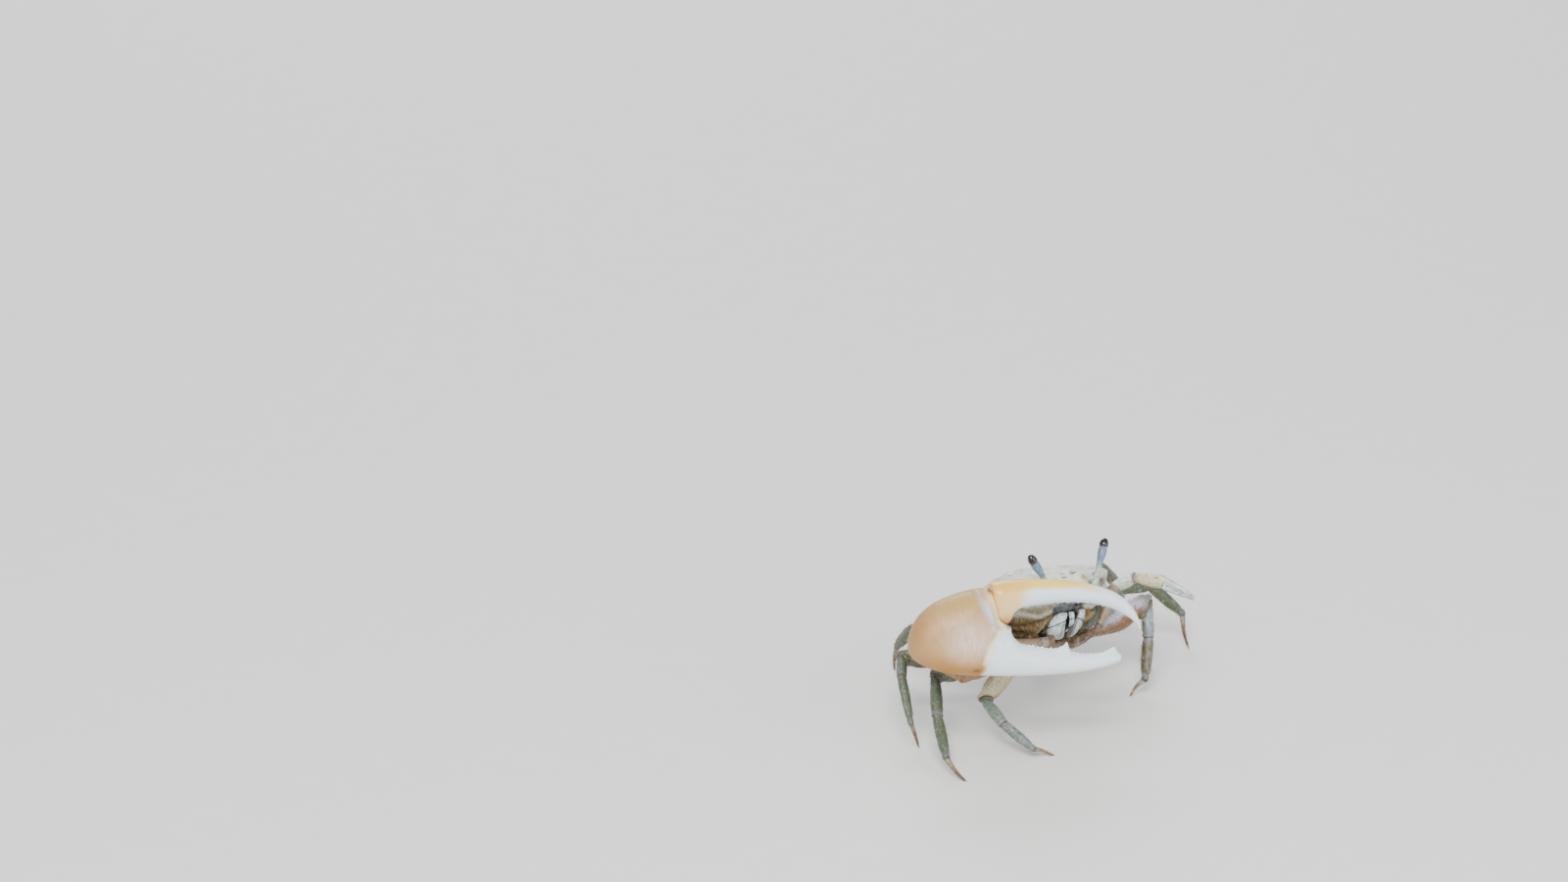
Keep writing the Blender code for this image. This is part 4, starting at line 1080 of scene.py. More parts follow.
def leg_materials():
    """The legs' materials, by side, leg and segment. The first pair is paler, as in the photo."""
    green = limb_look("leg_shell_green")
    olive = limb_look("leg_shell_olive")
    cream = limb_look("leg_shell_cream", patch=(206, 84, 36))
    blue = limb_look("leg_shell_blue")
    far_blue = limb_look("leg_shell_grey_blue")
    lilac_brown = limb_look("leg_shell_lilac", tone=(-0.25, 0.30), patch=(148, 150, 144))
    grey = limb_look("leg_shell_grey")
    moss = limb_look("leg_shell_moss")
    toe = toe_material("leg_toe_horn", (122, 112, 92), (94, 66, 40), 1.0)
    first_toe = toe_material("leg_toe_grey", (126, 118, 110), (120, 90, 62), 2.0)
    lilac_toe = toe_material("leg_toe_lilac", (150, 142, 156), (128, 104, 80), 3.0)
    chosen = {}
    for side in ("right", "left"):
        for order in LEG_NAMES:
            upper = olive if order in ("third", "fourth") else green
            chosen[side, order] = dict(zip(SEGMENT_VOXEL, (upper, green, green, toe)))
    chosen["right", "first"] = dict(zip(SEGMENT_VOXEL, (cream, blue, far_blue, first_toe)))
    chosen["left", "first"] = dict(zip(SEGMENT_VOXEL, (lilac_brown, grey, moss, lilac_toe)))
    return chosen


def limb_bristles(piece, run, corner, number, length):
    """Sparse fine bristles along the two edges of a segment. The corner is their place on the unwrap."""
    points, normals = points_of(piece), normals_of(piece)
    places = run.places(points)
    share = run.share(points)
    turn = np.arctan2(places[:, 2], places[:, 1])
    edge = np.abs(np.sin(turn)) > 0.90
    chosen = chance.choice(np.nonzero(edge & (share > 0.06) & (share < 0.95))[0], number)
    scatter = chance.normal(0.0, 0.20, (number, 3))
    out = normals[chosen]
    return (
        points[chosen],
        out * 0.75 + run.axis * 0.55 + scatter,
        out * -0.15 + run.axis * 0.15 + scatter * 0.3,
        length * chance.uniform(0.5, 1.2, number),
        chance.uniform(0.014, 0.022, number),
        np.array(corner) + np.stack([turn[chosen] / math.tau + 0.5, share[chosen]], axis=1) * 0.11,
    )


def rounded_knee(piece, run):
    """Rounds off a broad knee like a dome, and gives the mask of its paler patch."""
    share = run.share(points_of(piece))
    raised(piece, 0.14 * bump_at(share, 0.84, 0.09))
    places = run.places(points_of(piece))
    rim = places[np.abs(share - 0.84) < 0.04]
    centre = rim.mean(axis=0)
    radius = np.linalg.norm(rim - centre, axis=1).max()
    off = places - centre
    far = np.linalg.norm(off, axis=1)
    over = np.where(off[:, 0] > 0.0, np.maximum(far - radius, 0.0), 0.0)
    shifted(piece, off @ run.turn, -over / np.maximum(far, 0.01))
    inside_cad(piece)
    return 0.85 * step_at(share, 0.72, 0.86)


def walking_legs():
    """Every leg's segments, shaped and marked, with their bristles and the skin of their joints."""
    looks = leg_materials()
    skins, rows = [], []
    for leg, (side, order) in enumerate(looks):
        names = ["leg_{}_{}_{}".format(side, order, segment) for segment in SEGMENT_VOXEL]
        chain = ["breastplate", *names, None]
        for n, (segment, voxel) in enumerate(SEGMENT_VOXEL.items()):
            before, name, after = chain[n:n + 3]
            run = run_of(name, before, after)
            piece = fine_copy(name, "_shell", voxel, 6, bevel=0.10)
            if segment == "dactyl":
                reprofiled(piece, run, *TOE_PROFILE)
                shifted(piece, run.deep, 0.28 * np.sin(run.share(points_of(piece)) * math.pi))
            shape_segment(piece, run, segment)
            if (side, order, segment) == ("left", "first", "merus"):
                keep_values(piece, patch=rounded_knee(piece, run))
            if (side, order, segment) == ("right", "first", "merus"):
                # An orange patch lies low at the far end.
                points = points_of(piece)
                patch = step_at(-run.rise(points), -0.1, 0.5) * bump_at(run.share(points), 0.90, 0.10)
                keep_values(piece, patch=np.clip(patch, 0.0, 0.9))
            mark_limb(piece, run)
            dressed(piece, looks[side, order][segment], "leg", name)
            skins.append(joint_skin(before, name))
            if segment in LEG_BRISTLES:
                rows.append(limb_bristles(piece, run, (leg / 8.0, 0.5 + n / 8.0), *LEG_BRISTLES[segment]))
    piece = bristles("leg_bristles", *(np.concatenate(column) for column in zip(*rows)))
    dressed(piece, bristle_material("leg_bristle", (120, 104, 76), (206, 196, 170)), "leg")
    piece = joined(skins, "leg_joint_skin")
    inside_cad(piece)
    dressed(piece, simple_material("joint_skin", (104, 100, 78), (70, 64, 46), 0.5, 0.5), "leg")


def arm_places(piece):
    """Lowers the large arm's root to clear the mouth plate, and brings its elbow out under the palm."""
    for centre, shift, reach in ARM_SHIFTS:
        away = np.linalg.norm(points_of(piece) / MM - np.array(SHIFT + centre), axis=1)
        shifted(piece, np.array(shift), bump_at(away, 0.0, reach))


def arm_segments(chain, looks, slot, voxel, rounds, bevel):
    """The two segments between an arm's root and its hand."""
    for n, (segment, look) in enumerate(zip(("merus", "carpus"), looks)):
        before, name, after = chain[n:n + 3]
        run = run_of(name, before, after)
        piece = fine_copy(name, "_shell", voxel, rounds, bevel=bevel)
        shape_segment(piece, run, segment)
        if slot == "claw_palm":
            arm_places(piece)
        mark_limb(piece, run)
        dressed(piece, look, slot, name)


def small_hand(hand, tips):
    """The small claw. Its palm's own finger takes the tips' material."""
    points = np.concatenate([raw_points("small_claw_palm"), raw_points("small_claw_finger")])
    whole = Run(points, raw_points("small_claw_carpus").mean(axis=0), None)
    for name in ("small_claw_palm", "small_claw_finger"):
        piece = fine_copy(name, "_shell", 0.06, 6, bevel=0.06)
        # Both fingers taper and bend down towards their tips.
        share = whole.share(points_of(piece))
        across = (whole.places(points_of(piece)) * (0.0, 1.0, 1.0)) @ whole.turn
        shifted(piece, across, np.interp(share, (0.45, 0.8, 1.0), (0.0, -0.14, -0.42)))
        shifted(piece, np.array((0.0, 0.0, -1.3)), np.clip(share - 0.45, 0.0, 1.0) ** 2)
        places = whole.places(points_of(piece))
        groove = bump_at(places[:, 2], 0.0, 0.12) * step_at(share, 0.5, 0.65)
        raised(piece, 0.03 * noise_at(places, 0.6) - 0.05 * groove)
        inside_cad(piece)
        mark_limb(piece, whole)
        if name == "small_claw_finger":
            dressed(piece, tips, "small_claw", name)
        else:
            dressed(piece, hand, "small_claw", name)
            piece.data.materials.append(tips)
            beyond = whole.share(vectors_of(piece.data.polygons, "center")) > 0.52
            piece.data.polygons.foreach_set("material_index", beyond.astype(np.int32))


def arms():
    """The two arms' own segments, the small claw and the skin of the arms' joints."""
    large = ["breastplate", "large_claw_merus", "large_claw_carpus", "large_claw_palm"]
    small = ["breastplate", "small_claw_merus", "small_claw_carpus", "small_claw_palm"]
    skins = [joint_skin(*large[:2]), joint_skin(*large[1:3])]
    for skin in skins:
        arm_places(skin)
    brown = limb_look("large_arm_shell")
    arm_segments(large, (brown, brown), "claw_palm", 0.11, 8, 0.12)
    looks = limb_look("small_arm_shell"), limb_look("small_wrist_shell", rough=0.32, depth=0.010)
    arm_segments(small, looks, "small_claw", 0.07, 6, 0.08)
    skins += [joint_skin(first, second) for first, second in zip(small, small[1:])]
    hand = limb_look("small_claw_shell", rough=0.34, depth=0.010)
    small_hand(hand, limb_look("small_claw_finger_shell", rough=0.30, depth=0.008))
    piece = joined(skins, "arm_joint_skin")
    inside_cad(piece)
    dressed(piece, simple_material("arm_skin", (152, 142, 134), (108, 92, 80), 0.5, 0.42), "claw_palm")


# The large claw

# Heights of the biting edges and of the finger's middle line, at places along the claw.
FIXED_EDGE = (
    (6.0, 6.6, 9.3, 12.2, 14.6, 16.6, 18.0, 19.0),
    (-1.0, -1.45, -1.95, -2.15, -2.7, -2.6, -2.15, -2.6),
)
MOVING_EDGE = ((5.7, 8.0, 10.4, 12.9, 15.1, 17.0, 18.5), (2.75, 3.25, 3.55, 3.65, 3.5, 3.1, 2.45))
FINGER_MIDDLE = ((2.5, 5.7, 8.0, 13.0, 17.4, 19.0, 20.2, 21.2), (4.0, 4.7, 4.9, 4.95, 4.0, 3.2, 2.2, 0.4))
# How far the fixed finger's edge is lifted there, for its two broad teeth.
BROAD_TOOTH = ((10.8, 11.9, 12.25, 12.75, 13.4, 14.8), (0.0, 0.42, 0.46, -0.12, -0.16, 0.0))
END_TOOTH = ((16.9, 17.6, 17.95, 18.5), (0.0, 0.24, 0.28, 0.0))
# Where the hinge line and the border of the white lie along the claw, at heights on the palm.
HINGE_LINE = ((0.2, 1.77, 2.4, 4.8), (2.2, 3.2, 3.0, 2.6))
WHITE_BORDER = ((-7.0, -4.0, -3.0, -1.5, -0.6, 0.4, 1.2), (1.9, 1.9, 1.9, 2.1, 2.5, 3.2, 4.4))


def melt_teeth(piece):
    """Softens the coarse teeth on a biting edge, so that finer ones can stand there."""
    x, y, z = places_of(piece, CLAW).T
    low = np.abs(z - np.interp(x, *FIXED_EDGE) - 0.2) < 0.9
    high = np.abs(z - np.interp(x, *MOVING_EDGE) + 0.2) < 0.75
    chosen = (low | high) & (np.abs(y) < 1.0) & (x > 5.6) & (x < 18.9)
    group = piece.vertex_groups.new(name="biting_edge")
    group.add(np.nonzero(chosen)[0].tolist(), 1.0, "REPLACE")
    modified(piece, "SMOOTH", factor=0.7, iterations=40, vertex_group="biting_edge")
    piece.vertex_groups.clear()


def with_teeth(piece, steps, sizes, upward):
    """The piece joined with fine rounded teeth, each sunk into the biting edge at its own place along it."""
    places = places_of(piece, CLAW)
    centres = []
    for x, size in zip(steps, sizes):
        near = places[np.abs(places[:, 0] - x) < 0.14]
        edge = near[np.argmax(near[:, 2] * upward)]
        centres.append(CLAW @ Vector((x, edge[1], edge[2] - upward * size * 0.55)) * MM)
    whole = joined([piece, beads("teeth", centres, sizes)], piece.name)
    inside_cad(whole)
    return whole


def claw_finger():
    """The large claw's moving finger with its small teeth."""
    piece = fine_copy("large_claw_finger", "_shell", 0.10, 4, rounded=True)
    melt_teeth(piece)
    places = places_of(piece, CLAW)
    x, _, z = places.T
    # A shallow groove runs along the finger below its upper edge, and a low swelling stands at the hinge.
    groove = bump_at(z - np.interp(x, *FINGER_MIDDLE), 0.75, 0.35)
    groove *= step_at(x, 5.0, 7.5) * step_at(-x, -18.0, -15.0)
    swelling = spot_at(x, z, (3.5, 5.0), (0.7, 1.0))
    raised(piece, 0.04 * noise_at(places, 2.2) - 0.07 * groove + 0.10 * swelling)
    # The base's lower corner reaches down to the corner of the gape.
    places = places_of(piece, CLAW)
    reach = spot_at(places[:, 0], places[:, 2], (4.3, 1.9), (0.95, 0.95))
    set_places(piece, CLAW, places + np.array((0.25, 0.0, -0.70)) * reach[:, None])
    teeth = np.arange(7.2, 17.5, 0.62)
    piece = with_teeth(piece, teeth, 0.13 + 0.02 * np.sin(teeth * 2.9), -1.0)
    places = places_of(piece, CLAW)
    x, _, z = places.T
    edge = np.clip((z - np.interp(x, *FINGER_MIDDLE)) / 1.5, -1.0, 1.0)
    corner = np.clip(spot_at(x, z, (4.4, 1.6), (0.7, 0.7)), 0.0, 0.8)
    keep_values(piece, place=places, edge=edge, corner=corner)
    dressed(piece, finger_material(), "claw_finger", "large_claw_finger")
    return piece


def claw_palm(finger):
    """The large claw's palm with its fixed finger, the hinge's ridge and groove, and its small teeth."""
    piece = fine_copy("large_claw_palm", "_shell", 0.11, 4, rounded=True)
    melt_teeth(piece)
    places = places_of(piece, CLAW)
    x, y, z = places.T
    near_edge = step_at(z - np.interp(x, *FIXED_EDGE), -0.9, 0.0) * step_at(-np.abs(y), -1.3, -0.7)
    lift = (np.interp(x, *BROAD_TOOTH) + np.interp(x, *END_TOOTH)) * near_edge
    # The palm reaches to the gape's corner.
    reach = 0.35 * spot_at(x, z, (4.2, 0.4), (0.9, 0.8))
    places += np.stack([reach, np.zeros(len(places)), lift], axis=1)
    outer = step_at(-places[:, 1], -0.4, 0.6)
    # The palm's rim is drawn up to the finger's base, so that the hinge closes to a fine line.
    base = places_of(finger, CLAW)
    base = base[base[:, 0] < 6.5]
    towards = base[nearest(base, places)] - places
    gap = np.linalg.norm(towards, axis=1)
    pull = step_at(-gap, -1.5, -0.7) * outer * step_at(places[:, 2], 0.2, 1.0)
    drawn = towards * (np.clip(gap - 0.10, 0.0, 0.6) / np.maximum(gap, 0.01) * pull)[:, None]
    gap -= np.linalg.norm(drawn, axis=1)
    places += drawn
    x, y, z = places.T
    # A cream ridge runs beside the hinge line, with a shallow trough behind it.
    away = np.where(z > 1.4, gap, np.minimum(gap, np.abs(x - np.interp(z, *HINGE_LINE) - 1.3) + 0.3))
    lower = step_at(-z, -1.2, 0.4)
    ridge = bump_at(away, 0.66, 0.46) * outer * step_at(z, -0.9, 0.8) * (1.0 - 0.5 * lower)
    trough = bump_at(away, 1.75, 0.55) * outer * step_at(z, 0.0, 1.2)
    height = 0.34 * ridge - 0.26 * trough + 0.05 * noise_at(places, 2.4) * step_at(-x, -3.0, 0.0)
    # A blunt keel runs under the palm, and a long shallow groove along the fixed finger.
    height += 0.08 * bump_at(z, -5.1, 0.5) * step_at(x, -5.0, -2.0) * step_at(-x, -16.0, -12.0)
    height -= 0.05 * bump_at(z, -3.7, 0.45) * step_at(x, 6.5, 9.0) * step_at(-x, -16.5, -14.0) * outer
    # The trough takes a painted bluish highlight in the material.
    tint = trough * bump_at(z, 2.2, 2.4)
    set_places(piece, CLAW, places)
    raised(piece, height)
    teeth = np.concatenate([np.arange(7.5, 11.4, 0.56), np.arange(13.1, 17.1, 0.56)])
    piece = with_teeth(piece, teeth, 0.20 + 0.03 * np.sin(teeth * 3.7), 1.0)
    places = places_of(piece, CLAW)
    x, y, z = places.T
    # The teeth's points come last, and have neither ridge nor painted highlight.
    teeth_marks = np.zeros(len(x) - len(ridge))
    wander = 0.5 * noise_at(places, 1.3, 3.0) + 0.2 * noise_at(places, 0.5, 5.0)
    corner = spot_at(x, z, (4.7, 1.0), (0.5, 0.35)) + 1.2 * spot_at(x, z, (0.75, -4.35), (0.50, 0.26))
    corner += spot_at(x, z, (2.1, 5.35), (0.40, 0.42))
    keep_values(
        piece,
        place=places,
        hinge_ridge=np.clip(np.concatenate([ridge, teeth_marks]), 0.0, 1.0),
        hinge_tint=np.clip(np.concatenate([tint, teeth_marks]), 0.0, 1.0),
        white=step_at(x - np.interp(z, *WHITE_BORDER) + wander, -0.9, 1.1),
        corner=np.clip(corner * step_at(-y, -0.4, 0.6), 0.0, 0.95),
    )
    dressed(piece, palm_material(), "claw_palm", "large_claw_palm")


# The body

# Lines on the shell in the body's frame, for its left half. The right half mirrors them.
UNDER_ORBIT_RIDGE = (
    (2.3, -4.9, -3.3), (3.39, -4.94, -3.46), (4.16, -4.76, -3.63), (4.81, -4.55, -3.86),
    (5.58, -4.34, -3.72), (6.79, -4.04, -3.37), (7.69, -3.74, -3.16), (8.35, -3.5, -3.03),
)
MOUTH_GROOVE = ((1.95, -4.15, -4.22), (2.86, -3.84, -5.04), (3.03, -2.92, -5.97), (2.44, -1.79, -6.48))
MOUTH_RIM = ((1.73, -4.18, -4.15), (2.39, -3.86, -5.0), (2.6, -3.02, -6.02))
CHEEK_RIM = ((2.32, -4.29, -3.87), (3.57, -4.34, -4.53), (3.64, -3.53, -5.36), (3.47, -2.81, -5.92))
# How far each line of the face stands out or lies in, and its half width.
FACE_LINES = (
    (UNDER_ORBIT_RIDGE, 0.14, 0.26), (MOUTH_RIM, 0.12, 0.20),
    (CHEEK_RIM, 0.10, 0.26), (MOUTH_GROOVE, -0.24, 0.16),
)
# The grooves of the back, with their depths and half widths.
BACK_GROOVES = (
    (((2.1, -3.2, 1.0), (2.5, -1.4, 1.4), (1.9, 0.6, 1.4), (2.6, 2.6, 1.0), (2.9, 4.4, 0.3)), 0.22, 0.36),
    (((0.0, 1.5, 1.5), (1.9, 1.2, 1.4), (3.6, 0.4, 1.2), (6.0, -0.8, 0.7)), 0.17, 0.38),
    (((0.0, -3.6, 1.0), (0.0, -2.2, 1.3)), 0.09, 0.18),
    (((6.6, 0.6, 0.3), (6.3, 3.2, -0.4)), 0.13, 0.50),
    (((-0.1, 3.4, 0.8), (2.4, 3.9, 0.4)), 0.10, 0.30),
)
# The beads on each side margin: how many, where the first one is from front to back, and the step between.
MARGIN_BEADS = 30
FIRST_BEAD = -3.1
BEAD_STEP = 0.24
# Rows of bristles: the line of their roots, how many, how far they scatter, their length and their lean.
FRINGES = (
    (((5.9, -0.4, -5.3), (5.62, -1.58, -5.47), (5.49, -2.39, -5.52), (4.8, -2.75, -5.54),
      (4.25, -3.09, -5.5)), 150, 0.13, 0.80, (-0.35, -0.45, -0.55)),
    (((7.3, -1.6, -4.5), (7.09, -2.87, -4.53), (6.24, -3.07, -4.74), (5.42, -3.31, -4.89),
      (4.78, -3.58, -4.91)), 150, 0.16, 0.60, (-0.30, -0.45, -0.50)),
    (((3.0, -4.7, -3.6), (4.4, -4.5, -4.3), (5.6, -4.0, -4.4)), 80, 0.22, 0.75, (0.10, -0.70, -0.30)),
    (((3.6, -4.2, -4.6), (5.0, -3.6, -4.9), (6.4, -3.2, -4.2)), 80, 0.30, 0.60, (0.0, -0.60, -0.40)),
)


def folded_over(places):
    """Places with the right half laid over the left."""
    return np.abs(places * (1.0, 0.0, 0.0)) + places * (0.0, 1.0, 1.0)


def shell_height(places):
    """How far each place on the shell is raised, in millimetres."""
    folded = folded_over(places)
    side, y, z = folded.T
    top = step_at(z, -2.2, -0.6) * step_at(y, -5.9, -4.8)
    height = 0.08 * noise_at(places, 2.0) * top
    # The two bent grooves of the back meet a cross groove, and shallow dents mark off the regions.
    for groove, depth, width in BACK_GROOVES:
        gap = gap_to(folded * (1.0, 1.0, 0.0), np.array(groove) * (1.0, 1.0, 0.0))
        height -= depth * bump_at(gap, 0.0, width) * top
    face = step_at(-y, 2.0, 4.0) * step_at(-z, 1.4, 2.4)
    height += 0.05 * (cells_at(places, 0.32) - 0.5) * face
    for line, lift, width in FACE_LINES:
        height += lift * bump_at(gap_to(folded, line), 0.0, width)
    front = step_at(-y, 3.4, 4.2)
    height -= 0.22 * spot_at(side, z, (2.35, -3.12), (0.50, 0.24)) * front
    brow = step_at(-side, -3.2, -2.8) * step_at(-z, 2.0, 2.5) * step_at(z, -4.4, -3.8) * front
    height += 0.10 * spot_at(side, z, (0.0, -3.15), (0.9, 0.35)) * brow
    return height + 0.32 * spot_at(side, y, (2.45, -5.85), (0.42, 0.45)) * step_at(z, -1.6, -1.0)


def shell_beads(places):
    """Beads along the shell's side margins and along the ridge under each orbit."""
    centres, sizes = [], []
    for turn in (-1.0, 1.0):
        for n in range(MARGIN_BEADS):
            middle = FIRST_BEAD + BEAD_STEP * n
            near = places[(np.abs(places[:, 1] - middle) < 0.12) & (places[:, 0] * turn > 0.0)]
            edge = near[np.argmax(near[:, 0] * turn)]
            size = 0.15 - 0.0025 * n
            centres.append(edge - np.array((turn, 0.0, 0.0)) * size * 0.4)
            sizes.append(size)
        line = on_line(UNDER_ORBIT_RIDGE, np.linspace(0.16, 1.0, 17)) * (turn, 1.0, 1.0)
        found = places[nearest(places, line)]
        centres += list(found)
        sizes += [0.13 + 0.02 * math.sin(n * 2.4) for n in range(len(found))]
    return beads("shell_beads", [BODY @ Vector(centre) * MM for centre in centres], sizes)


def shell():
    """The carapace with its grooves, beads, ridges and hollows, and the marks that its material reads."""
    piece = fine_copy("carapace", "_shell", 0.11, 7)
    raised(piece, shell_height(places_of(piece, BODY)))
    piece = joined([piece, shell_beads(places_of(piece, BODY))], "carapace_shell")
    inside_cad(piece)
    places = places_of(piece, BODY)
    folded = folded_over(places)
    side, y, z = folded.T
    pale = bump_at(gap_to(folded, UNDER_ORBIT_RIDGE), 0.0, 0.30)
    pale = np.maximum(pale, 0.9 * bump_at(gap_to(folded, MOUTH_RIM), 0.0, 0.20))
    pale = np.maximum(pale, 0.7 * bump_at(gap_to(folded, CHEEK_RIM), 0.0, 0.24))
    # The orbit's floor is painted dark in the material, as painted shade.
    orbit = bump_at(z, -1.0, 0.55) * step_at(side, 3.0, 3.6) * step_at(-side, -9.6, -9.0)
    orbit *= step_at(-y, 3.0, 4.0) * step_at(y + 6.0 - 0.28 * (side - 3.7), 0.35, 0.8)
    front = step_at(-y, 3.4, 4.2)
    # The mouth's cavity, the groove beside it and a small dent are painted near black in the material, as
    # painted shade.
    mouth_room_shade = step_at(-side, -3.2, -2.9) * step_at(-z, 3.5, 3.9) * step_at(-y, 2.0, 3.2) * (1.0 - pale)
    dent_shade = spot_at(side, z, (2.35, -3.12), (0.52, 0.27)) * front
    groove = bump_at(gap_to(folded, MOUTH_GROOVE), 0.0, 0.19)
    knob = spot_at(side, y, (2.45, -5.85), (0.50, 0.55)) * step_at(z, -1.6, -1.0)
    keep_values(
        piece,
        place=places,
        ridge=np.clip(pale, 0.0, 0.95),
        orbit=orbit * 0.9,
        brow=step_at(-side, -3.3, -2.9) * step_at(-z, 1.9, 2.4) * front,
        dark=np.clip(np.maximum(np.maximum(mouth_room_shade, groove), 1.2 * dent_shade), 0.0, 1.0),
        knob=np.clip(knob * 1.3, 0.0, 0.95),
    )
    dressed(piece, shell_material(), "shell", "carapace")
    shell_bristles(places, normals_of(piece))


def shell_bristles(places, normals):
    """The golden fringes under the shell on each side, and the tufts beside the mouth."""
    turned = np.array(BODY.to_3x3())
    rows = []
    for turn in (-1.0, 1.0):
        for line, number, spread, length, lean in FRINGES:
            shares = chance.uniform(0.0, 1.0, number)
            wanted = on_line(line, shares) * (turn, 1.0, 1.0) + chance.normal(0.0, spread, (number, 3))
            found = nearest(places, wanted)
            root = places[found]
            out = normals[found] @ turned
            way = out * 0.7 + np.array(lean) * (turn, 1.0, 1.0) + chance.normal(0.0, 0.16, (number, 3))
            droop = np.array((-0.25 * turn, 0.05, -0.55)) + chance.normal(0.0, 0.06, (number, 3))
            lengths = length * chance.uniform(0.65, 1.15, number)
            radii = chance.uniform(0.018, 0.028, number)
            # On the unwrap the roots lie by their direction round the shell, and by their height.
            unwrap = np.stack([
                (np.arctan2(root[:, 0], -root[:, 1]) / math.tau + 0.5) * 0.9,
                (root[:, 2] + 9.0) / 12.0 * 0.4,
            ], axis=1)
            world = (root @ turned.T + np.array(BODY.translation)) * MM
            rows.append((world, way @ turned.T, droop @ turned.T, lengths, radii, unwrap))
    piece = bristles("shell_bristles", *(np.concatenate(column) for column in zip(*rows)))
    dressed(piece, bristle_material("golden_bristle", (74, 56, 32), (200, 172, 116)), "shell")


def underside():
    """The breastplate with its hips and plates, and the tail flap with its rings."""
    look = underside_material()
    piece = fine_copy("breastplate", "_shell", 0.12, 5)
    places = places_of(piece, BODY)
    side, y, _ = folded_over(places).T
    low = step_at(-normals_of(piece)[:, 2], 0.2, 0.7) * step_at(side, 0.6, 1.2)
    height = 0.04 * noise_at(places, 1.5)
    for line in (-4.4, -2.5, -0.6, 1.3, 3.2):
        height -= 0.10 * bump_at(y - 0.12 * side, line, 0.13) * low
    raised(piece, height)
    arm_places(piece)
    inside_cad(piece)
    keep_values(piece, place=places)
    dressed(piece, look, "underside", "breastplate")
    piece = fine_copy("abdomen", "_shell", 0.10, 5)
    places = places_of(piece, BODY)
    y = places[:, 1]
    share = (y - y.min()) / (y.max() - y.min())
    height = 0.03 * noise_at(places, 1.2)
    for line in (0.16, 0.31, 0.45, 0.58, 0.71, 0.85):
        height += 0.05 * bump_at(share, line + 0.05, 0.03) - 0.16 * bump_at(share, line, 0.022)
    raised(piece, height)
    inside_cad(piece)
    keep_values(piece, place=places)
    dressed(piece, look, "underside", "abdomen")


# The half widths in millimetres at shares along each eyestalk and along each eye.
STALK_PROFILE = ((0.0, 0.12, 0.45, 0.70, 0.86, 1.0), (0.46, 0.40, 0.33, 0.42, 0.58, 0.56))
EYE_PROFILE = ((0.0, 0.12, 0.30, 0.50, 0.72, 0.90, 1.0), (0.52, 0.57, 0.59, 0.58, 0.51, 0.35, 0.10))


def eyes():
    """The club-shaped eyestalks and their corneas."""
    stalk_look, cornea_look = stalk_material(), cornea_material()
    for side in ("left", "right"):
        stalk, eye = "eyestalk_" + side, "eye_" + side
        run = run_of(stalk, "carapace", eye)
        piece = fine_copy(stalk, "_skin", 0.05, 6, bevel=0.08)
        reprofiled(piece, run, *STALK_PROFILE)
        share = run.share(points_of(piece))
        shifted(piece, run.axis, step_at(share, 0.86, 0.98) * 0.22 - step_at(-share, -0.10, 0.0) * 0.3)
        raised(piece, 0.03 * noise_at(run.places(points_of(piece)), 0.5))
        inside_cad(piece)
        mark_limb(piece, run)
        dressed(piece, stalk_look, "eyestalk", stalk)
        # The cornea's lower rim reaches down over the stalk.
        down = -run.axis
        run = run_of(eye, stalk, None)
        piece = fine_copy(eye, "_cornea", 0.04, 12, bevel=0.08)
        reprofiled(piece, run, *EYE_PROFILE)
        shifted(piece, down, step_at(-run.share(points_of(piece)), -0.25, 0.0) * 0.25)
        inside_cad(piece)
        mark_limb(piece, run)
        dressed(piece, cornea_look, "eye", eye)


# The top, the bend and the lower end of each palp, in the body's frame.
PALPS = (
    ((-0.25, -5.42, -3.70), (-0.20, -5.45, -4.62), (-0.12, -5.15, -5.60)),
    ((0.13, -5.42, -3.72), (0.17, -5.45, -4.60), (0.25, -5.20, -5.48)),
    ((0.42, -5.40, -3.80), (0.47, -5.42, -4.60), (0.55, -5.22, -5.30)),
)


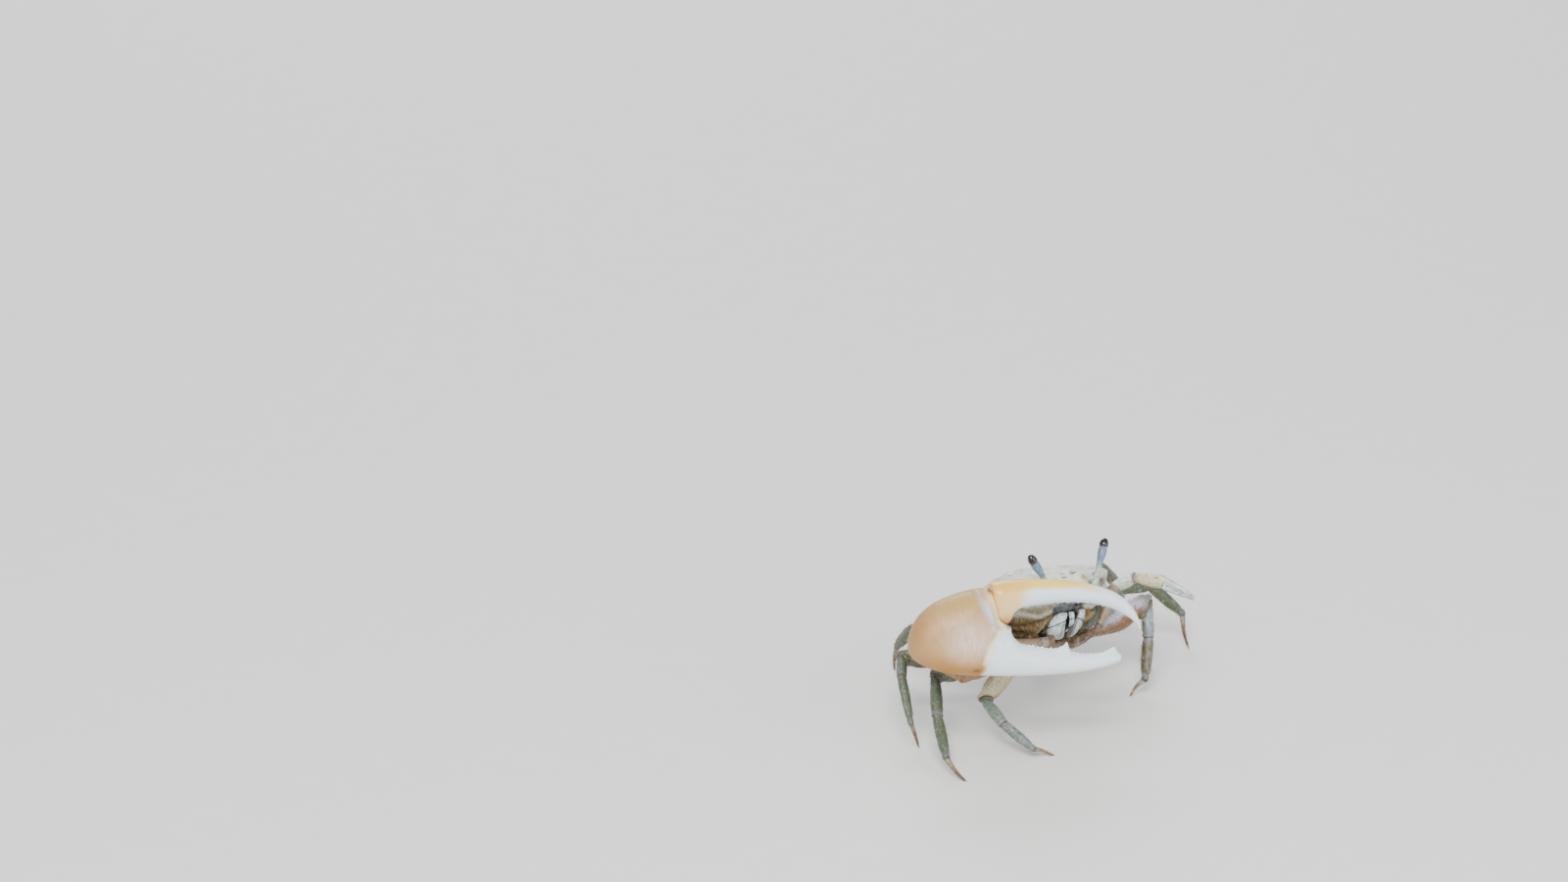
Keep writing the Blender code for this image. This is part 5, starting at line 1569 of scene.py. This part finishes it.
def strip(start, end, half_width):
    """A slim rounded strip between two places of the body's frame."""
    made = ball(20, 14)
    start, end = BODY @ Vector(start), BODY @ Vector(end)
    way = end - start
    points = points_of(made)
    points[:, 2] = np.sign(points[:, 2]) * np.abs(points[:, 2]) ** 0.55
    set_points(made, points)
    scale = Matrix.Diagonal((half_width * MM, half_width * 0.8 * MM, way.length * 0.5 * MM, 1.0))
    turn = way.to_track_quat("Z", "Y").to_matrix().to_4x4()
    made.data.transform(Matrix.Translation((start + end) * 0.5 * MM) @ turn @ scale)
    smooth_shaded(made)
    return made


def mouth():
    """The two mouth plates with the white palps between them, and the short feelers above."""
    look = mouth_material()
    for side in ("left", "right"):
        name = "mouth_plate_" + side
        piece = fine_copy(name, "_shell", 0.06, 5)
        places = places_of(piece, BODY)
        x, y, z = places.T
        out = np.abs(x)
        share = np.clip((-3.35 - z) / 3.75, 0.0, 1.0)
        # A dark joint crosses each plate, and a groove runs along its inner part, darkened as painted shade.
        joint = bump_at(share - 0.42 - 0.08 * (out - 1.75), 0.0, 0.03)
        long_groove = bump_at(out, 1.15, 0.13) * step_at(share, 0.40, 0.50) * step_at(-share, -0.95, -0.8)
        groove = np.clip(joint + long_groove, 0.0, 1.0) * step_at(-y, 3.0, 3.8)
        raised(piece, 0.05 * noise_at(places, 0.8) - 0.10 * groove)
        places = places_of(piece, BODY)
        # Both plates lean to the crab's right lower down, and the left one stands a little further out.
        places[:, 0] -= 0.45 * share
        if side == "left":
            places[:, 0] += 0.60 * (1.0 - share)
            # The left plate's inner strip is painted dark too, a painted shade in the gap between the
            # plates.
            groove = np.maximum(groove, step_at(-x, -1.15, -0.75))
        set_places(piece, BODY, places)
        inside_cad(piece)
        rise = np.clip(np.abs(out - 1.75) / 1.5, 0.0, 1.0)
        keep_values(piece, place=places, along=share, rise=rise, groove=groove)
        dressed(piece, look, "mouth_plate", name)
    strips = []
    for top, middle, bottom in PALPS:
        strips += [strip(top, middle, 0.115), strip(middle, bottom, 0.095)]
    piece = joined(strips, "palps")
    inside_cad(piece)
    dressed(piece, simple_material("palp_skin", (232, 240, 244), (206, 220, 226), 0.4, 0.35), "mouth_plate")
    look = simple_material("feeler_skin", (120, 118, 112), (84, 78, 72), 0.4, 0.45)
    for name in ("antenna_left", "antenna_right"):
        dressed(fine_copy(name, "_skin", 0.05, 5, bevel=0.05), look, "mouth_plate", name)


camera()
studio()
shell()
underside()
eyes()
mouth()
walking_legs()
arms()
claw_palm(claw_finger())
